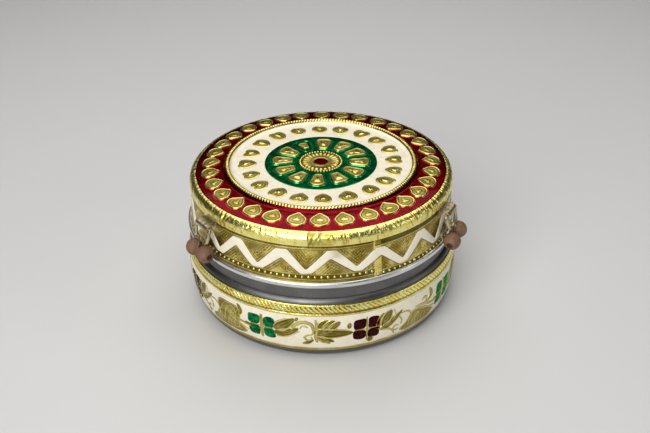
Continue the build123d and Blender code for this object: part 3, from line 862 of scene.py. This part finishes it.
def zigzag_corners(sizes):
    """Corners of the zigzag's upper and lower edge, each an azimuth in degrees and a height."""
    pitch = 360 / sizes.zigzag_periods
    flat = sizes.zigzag_flat / MM / cap_mm_per_degree
    draw = Random(18)
    upper, lower = [], []
    for k in range(sizes.zigzag_periods):
        peak = FIRST_PEAK + pitch * k
        valley = peak + pitch / 2
        for edge, azimuth, height in (
                (upper, peak - flat, UPPER_EDGE[0]), (upper, peak + flat, UPPER_EDGE[0]),
                (upper, valley, UPPER_EDGE[1]), (lower, peak, LOWER_EDGE[0]),
                (lower, valley - flat, LOWER_EDGE[1]), (lower, valley + flat, LOWER_EDGE[1])):
            azimuth += draw.uniform(-0.6, 0.6)
            height += draw.uniform(-0.4, 0.3) - strip_drop(azimuth, sizes)
            edge.append((azimuth, height))
    return np.array(upper), np.array(lower)


def edge_heights(corners, azimuths):
    """Height of one edge of the zigzag at each azimuth."""
    return np.interp(azimuths, corners[:, 0], corners[:, 1], period=360)


def away_from_zigzag(azimuths, heights, sizes):
    """Distance of each place on the cap's side from the zigzag's edges, negative on the enamel."""
    edges = zigzag_corners(sizes)
    nearest = np.full(np.broadcast(azimuths, heights).shape, 99.0)
    for corners in edges:
        corners = np.vstack([corners - (720, 0), corners - (360, 0), corners])
        for (a1, z1), (a2, z2) in zip(corners[:-1], corners[1:]):
            near = (np.abs(azimuths - (a1 + a2) / 2) < 12).ravel()
            if not near.any():
                continue
            dx, dz = (a2 - a1) * cap_mm_per_degree, z2 - z1
            px, pz = (azimuths[near] - a1) * cap_mm_per_degree, heights - z1
            share = np.clip((px * dx + pz * dz) / (dx * dx + dz * dz), 0, 1)
            away = np.hypot(px - share * dx, pz - share * dz)
            nearest[near] = np.minimum(nearest[near], away)
    upper, lower = (edge_heights(corners, azimuths) for corners in edges)
    return np.where((heights < upper) & (heights > lower), -nearest, nearest)


class FRUITBOX_OT_side_strip(Operator):
    """Gilt strip round the cap's side: chevrons, a row of pips, ridges and the lapped seam"""
    bl_idname = "fruit_box.side_strip"
    bl_label = "Side strip"

    def execute(self, context):
        sizes, colours = settings()
        azimuths = around(ROWS, 360)
        top = side_high + 1.0
        heights = np.linspace(side_low, top, 61)[None, :]
        own = heights + strip_drop(azimuths, sizes)
        fold = away_from_zigzag(azimuths, heights, sizes)
        scatter = np.random.default_rng(5).random(fold.shape)
        patchy = 0.5 + 0.5 * np.sin(azimuths * 0.31 + 2) * np.sin(azimuths * 0.17 + heights * 0.4)
        lines = 0.5 + 0.5 * np.cos(2 * pi * (fold - 0.7) / CHEVRON_PITCH)
        lines = 0.5 * (lines * (0.45 + 0.55 * patchy)) + 0.5 * scatter**1.5
        crossed = np.sin(azimuths * 0.53 + heights * 0.23)
        crisp = np.clip(0.68 + crossed * np.sin(azimuths * 0.29 - heights * 0.61 + 1), 0.3, 1)
        melted = 0.46 + 0.2 * np.sin(azimuths * 0.41 - heights * 0.5)
        lines = melted + (lines - melted) * crisp
        inside = (np.clip((own - CHEVRONS[0]) / 0.4, 0, 1)
                  * np.clip((CHEVRONS[1] - own) / 0.4, 0, 1) * np.clip((fold - 0.1) / 0.3, 0, 1))
        relief = ridged(0.3 * lines * inside, own, SIDE_RIDGES)
        lap = wrapped(azimuths - seam_azimuth(sizes))
        relief = relief + 0.16 * bell(lap, 0.35) + 0.12 * ((lap > 0) & (lap < 3))
        # The higher the relief, the more painted highlight; its low places get painted shade.
        polish_and_shade = np.clip(1.45 * relief / 0.24 - 0.25, 0, 1)
        sheet = Sheet()
        sheet.turn(cap_wall(heights) + relief, heights, polish_and_shade,
                   [(cap_wall(z) - FOIL + UNDER, z) for z in (top, side_low)])
        for k in range(sizes.side_pips):
            azimuth = seam_azimuth(sizes) + 360 * (k + 0.5) / sizes.side_pips
            level = SIDE_PIP_HEIGHT - strip_drop(azimuth, sizes)
            dome(sheet, on_wall(cap_wall, azimuth, level), 0.78, 0.5)
        # The side strip's gilt is painted a touch darker, as painted shade.
        finish = gilt("gilt_side", colours, grain=0.4, crinkle=1.2, shade=0.98, crease=1.6)
        sheet.piece("side_strip", "lid", "gilt_foil", finish, "lid_side_foil")
        return {"FINISHED"}


class FRUITBOX_OT_zigzag(Operator):
    """Thick white enamel zigzag on the side strip"""
    bl_idname = "fruit_box.zigzag"
    bl_label = "White zigzag"

    def execute(self, context):
        sizes, colours = settings()
        azimuths = around(ROWS, 360)
        upper, lower = (edge_heights(corners, azimuths) for corners in zigzag_corners(sizes))
        for _ in range(4):
            upper, lower = ((np.roll(e, 1) + 2 * e + np.roll(e, -1)) / 4 for e in (upper, lower))
        share = np.array([0, 0, 0.04, 0.1, 0.18, 0.28, 0.4, 0.5, 0.6, 0.72, 0.82, 0.9, 0.96, 1, 1])
        rise = 0.36
        side = [-UNDER / rise, 0.2, 0.55, 0.78, 0.92, 0.98, 1]
        lift = np.array([*side, 1, *side[::-1]]) * rise
        heights = lower + (upper - lower) * share
        middle = (upper + lower) / 2
        worn = bell(azimuths - WORN_PEAK, 2.3) * np.clip((heights - 60) / 2, 0, 1)
        sheet = Sheet()
        sheet.turn(
            cap_wall(heights) + lift - 0.1 * worn, heights,
            np.clip(lift / 0.25, 0, 1) - 1.2 * worn, [(cap_wall(middle) - UNDER, middle)])
        finish = opaque("white_enamel_zigzag", colours.white, shine=0.8)
        sheet.piece("zigzag", "lid", "white_enamel", finish, "zigzag_enamel")
        return {"FINISHED"}


# The bowl's side

class FRUITBOX_OT_bowl_strip(Operator):
    """Gilt strip round the bowl, with its twisted rope border and plain lines"""
    bl_idname = "fruit_box.bowl_strip"
    bl_label = "Bowl strip"

    def execute(self, context):
        sizes, colours = settings()
        angles = around(sizes.rope_strands * 9)
        heights = np.concatenate([
            np.linspace(strip_low, field_low + 1, 10),
            np.linspace(field_low + 2, field_high - 2, 8),
            np.linspace(field_high - 1.5, strip_high, 30)])[None, :]
        middle, half = field_high + 2.75, 1.95     # of the rope
        across = np.clip((heights - middle) / half, -1, 1)
        slip = 0.45 * np.sin(angles * 13 + 1) + 0.35 * np.sin(angles * 29)
        strand = np.abs(np.cos(angles * sizes.rope_strands / 2 + slip + 1.1 * (heights - middle)))
        uneven = 0.82 + 0.12 * np.sin(angles * 31) + 0.06 * np.sin(angles * 57 + 1)
        rope = np.sqrt(1 - across**2) * (0.02 + 0.53 * strand**0.9) * uneven
        relief = ridged(rope, heights, (
            (strip_low + 0.5, 0.2, 0.3), (field_low - 1.7, 0.22, 0.3),
            (field_high - 0.35, 0.3, 0.55), (strip_high - 0.5, 0.3, 0.35)))
        under_enamel = (heights > field_low + 0.6) & (heights < field_high - 1.4)
        relief = np.where(under_enamel, 0.0, relief)
        # Painted highlight on the rope's strands and ridges, painted shade between them.
        polish_and_shade = np.clip((relief + 0.01) / 0.24, 0, 1)
        ends = (strip_high, (strip_low + strip_high) / 2, strip_low)
        sheet = Sheet()
        sheet.turn(bowl_wall(heights) + relief, heights, polish_and_shade,
                   [(bowl_wall(z) - FOIL + UNDER / 2, z) for z in ends])
        # The bowl strip's gilt is painted much lighter, as painted light.
        finish = gilt("gilt_bowl", colours, grain=0.45, crinkle=1.3, shade=1.6, crease=1.6)
        sheet.piece("bowl_strip", "base", "gilt_foil", finish, "base_foil")
        return {"FINISHED"}


class FRUITBOX_OT_bowl_field(Operator):
    """White enamel field on the bowl's strip"""
    bl_idname = "fruit_box.bowl_field"
    bl_label = "White field"

    def execute(self, context):
        sizes, colours = settings()
        angles = around(720)
        low, high = field_low - 1.3, field_high - 1.0
        share = np.array([0, 0, 0.02, 0.06, *np.linspace(0.14, 0.86, 16), 0.94, 0.98, 1, 1])
        ragged_low = low + 0.16 * np.sin(angles * 23) * np.sin(angles * 9 + 2)
        ragged_high = high + 0.2 * np.sin(angles * 19 + 1) * np.sin(angles * 11)
        heights = ragged_low + (ragged_high - ragged_low) * share
        rise = sizes.white_rise / MM
        lift = rise * np.array([0, 0.55, 0.85, 1, *[1] * 16, 1, 0.85, 0.55, 0])
        lift[[0, -1]] = -UNDER
        ripple = 0.03 * np.sin(angles * 43 + heights * 0.5) * np.sin(angles * 17 - heights * 0.7)
        surface = (lift > 0.9 * rise) * 1.0
        radii = bowl_wall(heights) + lift + surface * (ripple - 0.03)
        polish_and_shade = np.where(lift < 0.6 * rise, 0.2, 1.0)
        middle = (low + high) / 2
        sheet = Sheet()
        sheet.turn(radii, heights, polish_and_shade, [(bowl_wall(middle) - UNDER, middle)])
        finish = opaque("white_enamel_bowl", colours.white, shine=0.7)
        sheet.piece("white_field", "base", "white_enamel", finish, "base_white_enamel")
        return {"FINISHED"}


FLOWER_PITCH = 41.7         # degrees from flower to flower
FLOWER_PHASE = 245.4        # azimuth of the green flower at the front
FLOWERS_EACH_WAY = 4        # from that one, before the strip's two ends meet at the back
STAINED_FLOWER = FLOWERS_EACH_WAY - 1     # the maroon flower at the front left
FLOWER_HEIGHT = (field_low + field_high) / 2 - 1.0
PETAL = mirrored((
    (2.95, 0.0), (2.8, 1.8), (1.7, 2.6), (0.0, 2.7), (-1.7, 2.6), (-2.8, 1.8), (-2.95, 0.0)),
    steps=2)


def flower_azimuths():
    """Azimuth of every flower, with True for the green ones."""
    steps = range(-FLOWERS_EACH_WAY, FLOWERS_EACH_WAY + 1)
    return [(FLOWER_PHASE + FLOWER_PITCH * step, step % 2 == 0) for step in steps]


class FRUITBOX_OT_flowers(Operator):
    """Four-petal flowers of green and maroon enamel, each on a gilt cross"""
    bl_idname = "fruit_box.flowers"
    bl_label = "Flowers"

    def execute(self, context):
        sizes, colours = settings()
        draw = Random(11)
        top = sizes.relief / MM
        petals = {True: Sheet(), False: Sheet()}
        crosses = Sheet()
        bar = ((-1, -UNDER, 0), (-0.7, 0.75 * top, 0.7), (0, 0.6 * top, 0.5),
               (0.7, 0.75 * top, 0.7), (1, -UNDER, 0.2))
        for azimuth, green in flower_azimuths():
            place = on_wall(bowl_wall, azimuth, FLOWER_HEIGHT)
            upright = 1.3 if green else 0.6
            for half, line in ((upright, ((0, -7.6), (0.15, 0), (0, 7.6))),
                               (0.5, ((-6.6, 0.1), (0, 0), (6.6, -0.1)))):
                path = smooth(line, steps=8)
                halves = half * np.sin(np.linspace(0.15, pi - 0.15, len(path))) ** 0.4
                ribbon(crosses, place, path, halves, bar)
            apart, above = (4.35 if green else 3.85), 3.5     # of a petal from the middle
            for across, up in ((-1, -1), (-1, 1), (1, -1), (1, 1)):
                shape = wobbled(PETAL, draw, 0.05) * (
                    draw.uniform(1.12, 1.22), draw.uniform(1.2, 1.3))
                shape = shape + (across * (apart + draw.uniform(-0.2, 0.2)), up * above)
                pressed(petals[green], place, shape, (
                    (0.0, -UNDER, 0.2), (0.05, 0.4 * top, 0.6), (0.35, 0.68 * top, 1.0),
                    (1.0, 0.86 * top, 1.0), (2.0, top, 1.0)))
        # The petals' enamels are painted darker (maroon) and lighter (green) than the top's, as
        # painted shade and light.
        for green, name, tone, depth in (
                (True, "green", shaded(colours.green, 1.15), 0.75),
                (False, "maroon", shaded(colours.maroon, 0.28), 0.9)):
            finish = glassy(
                f"{name}_enamel_petals", tone[:3], metal=0.9, shine=0.15, rough=0.1, grit=0.16,
                patch=1.8, depth=depth)
            petals[green].piece(
                f"{name}_flower_petals", "base", f"{name}_enamel", finish, f"{name}_petals")
        finish = gilt("gilt_crosses", colours, grain=0.4, crinkle=1.0)
        crosses.piece("flower_crosses", "base", "gilt_foil", finish, "base_foil")
        return {"FINISHED"}


class FRUITBOX_OT_foliage(Operator):
    """Gilt leaves and vines between the flowers"""
    bl_idname = "fruit_box.foliage"
    bl_label = "Leaves and vines"

    def execute(self, context):
        sizes, colours = settings()
        self.sheet = Sheet()
        self.top = sizes.relief / MM
        self.place = on_wall(bowl_wall, flower_azimuths()[-1][0])
        self.paired_leaves()     # the strip's two ends meet before the rest of this motif
        for azimuth, green in flower_azimuths()[:-1]:
            self.place = on_wall(bowl_wall, azimuth)
            (self.vine_motif if green else self.leaf_motif)()
            if azimuth == flower_azimuths()[STAINED_FLOWER][0]:
                self.broad_fan()
        # The leaves' gilt is painted darker than the bowl strip's, as painted shade.
        finish = gilt(
            "gilt_foliage", colours, grain=0.4, crinkle=0.9, dull=0.05, shade=0.74, crease=1.5)
        self.sheet.piece("foliage", "base", "gilt_foil", finish, "base_foil")
        return {"FINISHED"}

    def line(self, points, steps=6):
        """A curve through places given as degrees from the flower and height."""
        return smooth([(a * mm_per_degree, z) for a, z in points], steps=steps)

    def leaf(self, half, *points, rib=True):
        """A leaf from its stem end to its tip, swelling to half its width."""
        path = self.line(points, 8 if len(points) > 2 else 14)
        share = np.linspace(0.02, 0.985, len(path))
        halves = 1.4 * half * np.sin(pi * share**0.85) ** 0.7
        top = self.top
        # Painted highlight on each leaf's raised rims, painted shade inside them and along the rib.
        side = ((-1, -UNDER, 0.1), (-0.9, 0.9 * top, 1.0), (-0.76, top, 1.0),
                (-0.55, 0.5 * top, 0.0))
        if rib:
            section = both_sides((*side, (-0.2, 0.8 * top, 0.6)), (0, 0.3 * top, 0.0))
        else:
            section = both_sides(side, (0, top, 0.8))
        ribbon(self.sheet, self.place, path, halves, section)

    def vine(self, half, *points):
        """A round stem."""
        path = self.line(points)
        halves = 1.3 * half * np.sin(np.linspace(0.12, pi - 0.12, len(path))) ** 0.35
        section = both_sides(
            ((-1, -UNDER, 0.1), (-0.7, 0.7 * self.top, 0.7)), (0, self.top, 1.0))
        ribbon(self.sheet, self.place, path, halves, section)

    def curl(self, half, azimuth, height, radius, start=0.0, sweep=1.7 * pi):
        """A stem rolled into a curl."""
        turns = [start + sweep * k / 9 for k in range(10)]
        self.vine(half, *[
            (azimuth + radius * cos(t) / mm_per_degree, height + radius * sin(t)) for t in turns])

    def blade(self, *points):
        """A broad flat leaf with a soft outline."""
        outline = smooth([(a * mm_per_degree, z) for a, z in points], closed=True, steps=5)
        top = self.top
        # Painted highlight on the blade's rim, painted shade within it.
        pressed(self.sheet, self.place, outline, (
            (0.0, -UNDER, 0.1), (0.12, 0.6 * top, 0.6), (0.5, top, 1.0), (1.1, 0.85 * top, 0.6),
            (2.0, 0.7 * top, 0.45), (3.2, 0.8 * top, 0.6), (4.5, 0.9 * top, 0.7)))

    def leaf_motif(self):
        """The broad leaf and its sprays, right of a maroon flower."""
        self.leaf(1.5, (1.5, 12.3), (1.6, 8.3))
        self.leaf(1.3, (4.7, 17.3), (5.3, 21.0), (6.9, 25.6))
        self.leaf(2.5, (7.0, 16.6), (8.3, 21.5), (10.6, 25.8))
        self.vine(0.35, (11.2, 18.6), (12.5, 22.0), (11.6, 25.6))
        self.leaf(1.7, (6.0, 14.6), (10.0, 17.6), (15.6, 23.2))
        self.vine(0.6, (4.0, 16.4), (7.0, 14.6), (9.6, 13.6), (11.4, 11.4), (12.3, 8.6))
        self.curl(0.5, 13.0, 12.6, 1.7, 0.6, 5.2)
        self.vine(0.5, (15.2, 21.2), (17.6, 21.2), (19.6, 19.6), (20.3, 17.0))
        self.vine(0.45, (14.2, 19.8), (15.6, 16.6), (15.2, 13.8))
        self.blade((15.8, 8.3), (15.0, 10.8), (17.6, 13.0), (19.2, 16.4), (21.6, 19.4),
                   (25.6, 18.9), (29.6, 16.4), (33.0, 13.2), (34.4, 10.6), (31.6, 8.4),
                   (27.0, 8.0), (21.0, 7.9))
        for start in (19.6, 23.2, 26.8):
            self.leaf(1.1, (start, 8.8), (start + 0.6, 12.4), (start + 1.6, 16.6))
        self.vine(0.75, (22.6, 20.6), (27.0, 19.6), (32.0, 16.8), (37.2, 15.6))
        self.vine(0.45, (25.6, 17.6), (30.6, 15.0), (35.6, 12.6))
        self.curl(0.6, 27.8, 21.4, 2.1, -1.9, 4.6)
        self.leaf(1.2, (29.6, 19.6), (32.2, 23.0), (30.8, 27.4), rib=False)
        self.leaf(0.9, (34.0, 17.0), (37.4, 16.6))

    def broad_fan(self):
        """Leaves run together into one broad fan, left of the front's green flower."""
        self.blade((17.6, 9.8), (20.0, 15.0), (19.4, 20.4), (20.6, 24.8), (25.6, 25.4),
                   (31.2, 24.6), (32.0, 20.6), (31.4, 15.4), (31.0, 11.4), (28.6, 9.8), (23.4, 9.6))
        for start in (21.0, 23.8, 26.6):
            self.leaf(1.5, (start, 10.8), (start + 1.4, 17.4), (start + 3.6, 24.4))

    def paired_leaves(self):
        """Two leaves that spring from a green flower."""
        self.leaf(2.7, (5.4, 18.8), (9.0, 21.6), (13.6, 26.4))
        self.leaf(2.2, (5.4, 16.4), (9.6, 16.6), (15.2, 20.6))
        self.vine(0.4, (6.2, 13.6), (10.4, 14.6), (15.6, 18.8))
        self.leaf(0.7, (14.0, 25.2), (15.0, 27.6), rib=False)

    def vine_motif(self):
        """The paired leaves, scroll and leaf cluster, right of a green flower."""
        self.paired_leaves()
        self.vine(1.0, (12.4, 19.4), (14.3, 23.2), (17.4, 24.9), (20.4, 23.2), (21.0, 19.2))
        self.vine(0.4, (15.8, 20.6), (17.0, 22.5), (18.8, 21.6))
        self.vine(0.6, (21.2, 20.4), (20.6, 17.4), (18.8, 16.6), (17.4, 14.8), (18.6, 12.9),
                  (20.2, 13.8), (19.9, 15.4))
        self.leaf(1.0, (20.8, 13.6), (18.6, 11.6), (16.4, 10.3))
        self.vine(0.8, (21.8, 26.6), (22.4, 21.0), (21.8, 15.6), (22.2, 11.6))
        self.leaf(1.6, (22.6, 19.8), (24.6, 24.0), (27.0, 25.8))
        self.leaf(1.6, (24.6, 19.8), (27.0, 23.6), (29.4, 25.6))
        self.leaf(1.6, (26.8, 19.8), (29.2, 22.8), (31.4, 24.8))
        self.leaf(2.7, (20.8, 18.8), (27.0, 17.6), (36.2, 17.2))
        self.leaf(1.3, (21.6, 15.8), (25.4, 13.9), (28.8, 11.9))
        self.vine(0.45, (22.6, 16.4), (22.8, 13.6), (24.6, 11.6), (27.0, 11.9))
        self.leaf(1.0, (23.4, 14.8), (25.0, 12.6), (27.2, 10.9))
        self.leaf(1.0, (34.8, 19.9), (35.0, 23.6), rib=False)


# Steel, ties and the studio

class FRUITBOX_OT_steel(Operator):
    """Brushed finish of the bare steel bowl and cap, the bowl's painted darker and the cap's
    lighter as painted shade and light
    """
    bl_idname = "fruit_box.steel"
    bl_label = "Bare steel"

    def execute(self, context):
        _, colours = settings()
        # The bowl's steel is painted darker and the cap's lighter than the steel colour, as painted
        # shade and light.
        for name, node, tone, dull in (
                ("steel_bowl", "base_shell", 0.3, 0.14), ("steel_cap", "lid_shell", 1.35, 0.07)):
            self.brushed(name, node, shaded(colours.steel, tone)[:3], dull)
        return {"FINISHED"}

    def brushed(self, name, node, tone, dull):
        """Steel brushed round the box, with upright streaks and a few smears."""
        steel = Finish(name, metallic=1.0)
        rings = steel.noise(0.5, 4.0, (0.06, 0.06, 1.0))
        streaks = steel.noise(1.2, 5.0, (1.0, 1.0, 0.12))
        smear = steel.ramp(steel.noise(14.0, 4.0), 0.4, 0.65)
        even = steel.mix(smear, colour(tone), shaded(tone, 0.75))
        steel.set("Base Color", steel.mix(streaks * 0.6, even, shaded(tone, 1.4)))
        steel.set("Roughness", 0.16 + dull + 0.14 * rings + 0.12 * smear)
        steel.set("Normal", steel.bump(rings + 0.7 * streaks, 0.012))
        repaint(steel.material, node)


class FRUITBOX_OT_ties(Operator):
    """Dull metal of the ties and the brown wood of their beads, with the pins painted near black as
    painted shade in the beads' holes
    """
    bl_idname = "fruit_box.ties"
    bl_label = "Ties and beads"

    def execute(self, context):
        _, colours = settings()
        metal = self.metal("tie_metal", colours.wire)
        # The pins are painted near black: painted shade where they sink into the beads' holes.
        dark = self.metal("pin_painted_shade", shaded(colours.wire, 0.16)[:3])
        wood = Finish("bead_wood", specular_ior_level=0.4, coat_weight=0.15, coat_roughness=0.35)
        grain = wood.noise(1.0, 5.0, (1.0, 1.0, 0.2), 0.65)
        pores = wood.ramp(wood.noise(0.35, 3.0, (1.0, 1.0, 0.3)), 0.56, 0.66)
        lit = wood.mix(wood.ramp(grain, 0.35, 0.7), colour(colours.wood), shaded(colours.wood, 1.9))
        wood.set("Base Color", wood.mix(pores * 0.6, lit, shaded(colours.wood, 0.35)))
        wood.set("Roughness", 0.5 + 0.25 * grain)
        wood.set("Normal", wood.bump(grain - 0.8 * pores, 0.12))
        for side in ("left", "right", "rear"):
            repaint(metal, f"tie_lug_{side}", f"tie_ring_{side}", f"tie_link_{side}")
            repaint(dark, f"bead_pin_{side}")
            repaint(wood.material, f"near_bead_{side}", f"far_bead_{side}")
        return {"FINISHED"}

    def metal(self, name, tone):
        """Tarnished and scratched metal."""
        metal = Finish(name, metallic=1.0)
        tarnish = metal.ramp(metal.noise(2.2, 5.0), 0.42, 0.66)
        scratch = metal.noise(0.35, 4.0)
        metal.set("Base Color", metal.mix(tarnish, colour(tone), shaded(tone, 0.4)))
        metal.set("Roughness", 0.24 + 0.2 * scratch + 0.16 * tarnish)
        metal.set("Normal", metal.bump(scratch + tarnish, 0.05))
        return metal.material


class FRUITBOX_OT_studio(Operator):
    """Plain pale floor, soft lights and the camera"""
    bl_idname = "fruit_box.studio"
    bl_label = "Studio"

    def execute(self, context):
        _, colours = settings()
        light = context.scene.fruit_box_light
        self.floor(colours)
        self.lamp("above", (0.0, 0.22, 0.9), (0.0, 0.04, 0.06), 1.0, 1.4, light.above)
        self.lamp("front_left", (-0.42, -0.92, 0.7), (0, 0, 0.05), 0.9, 0.95, light.left)
        self.lamp("right", (0.95, -0.3, 0.4), (0, 0, 0.04), 0.4, 0.5, light.right)
        world = bpy.data.worlds.new("studio_room")
        world.use_nodes = True
        even = world.node_tree.nodes["Background"].inputs
        even["Color"].default_value = (1, 0.985, 0.96, 1)
        even["Strength"].default_value = light.room
        context.scene.world = world
        context.scene.view_settings.view_transform = "Standard"
        self.camera()
        return {"FINISHED"}

    def floor(self, colours):
        """A plain floor under the box."""
        half = 3.0
        mesh = bpy.data.meshes.new("floor")
        mesh.from_pydata(
            [(-half, -half, 0), (half, -half, 0), (half, half, 0), (-half, half, 0)], [],
            [(0, 1, 2, 3)])
        plain = Finish("plain_floor", specular_ior_level=0.3)
        cloud, tone = plain.noise(60.0, 2.0), colours.floor
        plain.set("Base Color", plain.mix(cloud, colour(tone), shaded(tone, 0.97)))
        plain.set("Roughness", 0.55 + 0.1 * cloud)
        mesh.materials.append(plain.material)
        floor = added("floor", mesh)

    def lamp(self, name, at, towards, width, depth, power):
        """A soft rectangular light."""
        data = bpy.data.lights.new(name, "AREA")
        data.shape, data.size, data.size_y, data.energy = "RECTANGLE", width, depth, power
        lamp = added(name, data)
        lamp.location = at
        lamp.rotation_euler = (Vector(towards) - Vector(at)).to_track_quat("-Z", "Y").to_euler()

    def camera(self):
        """Looks down at the box from the front, as the photograph does."""
        data = bpy.data.cameras.new("camera")
        data.lens, data.sensor_width, data.clip_start = 45.415, 36.0, 0.01
        down, roll = radians(31.78), radians(0.84)
        back = Vector((0, -cos(down), sin(down)))
        up = Vector((0, sin(down), cos(down)))
        right = Vector((1, 0, 0))
        crown = Vector((0, 0, 0.076))
        distance, rightwards, downwards = 0.448, 0.00181, 0.03014     # of the camera from the crown
        at = crown + back * distance + right * rightwards - up * downwards
        leaned_right = right * cos(roll) - up * sin(roll)
        leaned_up = right * sin(roll) + up * cos(roll)
        camera = added("camera", data)
        camera.matrix_world = Matrix.Translation(at) @ Matrix(
            (leaned_right, leaned_up, back)).transposed().to_4x4()
        bpy.context.scene.camera = camera


OPERATORS = (
    FRUITBOX_OT_steel, FRUITBOX_OT_top_sheet, FRUITBOX_OT_bosses, FRUITBOX_OT_top_enamels,
    FRUITBOX_OT_edge_strip, FRUITBOX_OT_side_strip, FRUITBOX_OT_zigzag, FRUITBOX_OT_bowl_strip,
    FRUITBOX_OT_bowl_field, FRUITBOX_OT_flowers, FRUITBOX_OT_foliage, FRUITBOX_OT_ties,
    FRUITBOX_OT_studio)


class FRUITBOX_PT_build(Panel):
    """The box's pieces, in the order they are built"""
    bl_label = "Fruit Box"
    bl_idname = "FRUITBOX_PT_build"
    bl_space_type = "VIEW_3D"
    bl_region_type = "UI"
    bl_category = "Fruit Box"

    def draw(self, context):
        for group in ("fruit_box_sizes", "fruit_box_colours", "fruit_box_light"):
            box = self.layout.box()
            owner = getattr(context.scene, group)
            for name in owner.bl_rna.properties.keys():
                if name not in ("name", "rna_type"):
                    box.prop(owner, name)
        for operator in OPERATORS:
            self.layout.operator(operator.bl_idname)


CLASSES = (FruitBoxSizes, FruitBoxColours, FruitBoxLight, *OPERATORS, FRUITBOX_PT_build)


def register():
    for kind in CLASSES:
        bpy.utils.register_class(kind)
    bpy.types.Scene.fruit_box_sizes = PointerProperty(type=FruitBoxSizes)
    bpy.types.Scene.fruit_box_colours = PointerProperty(type=FruitBoxColours)
    bpy.types.Scene.fruit_box_light = PointerProperty(type=FruitBoxLight)


def unregister():
    del bpy.types.Scene.fruit_box_light
    del bpy.types.Scene.fruit_box_colours
    del bpy.types.Scene.fruit_box_sizes
    for kind in reversed(CLASSES):
        bpy.utils.unregister_class(kind)


def main():
    """Registers the add-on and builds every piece."""
    register()
    for operator in OPERATORS:
        group, name = operator.bl_idname.split(".")
        getattr(getattr(bpy.ops, group), name)()


if __name__ == "__main__":
    main()
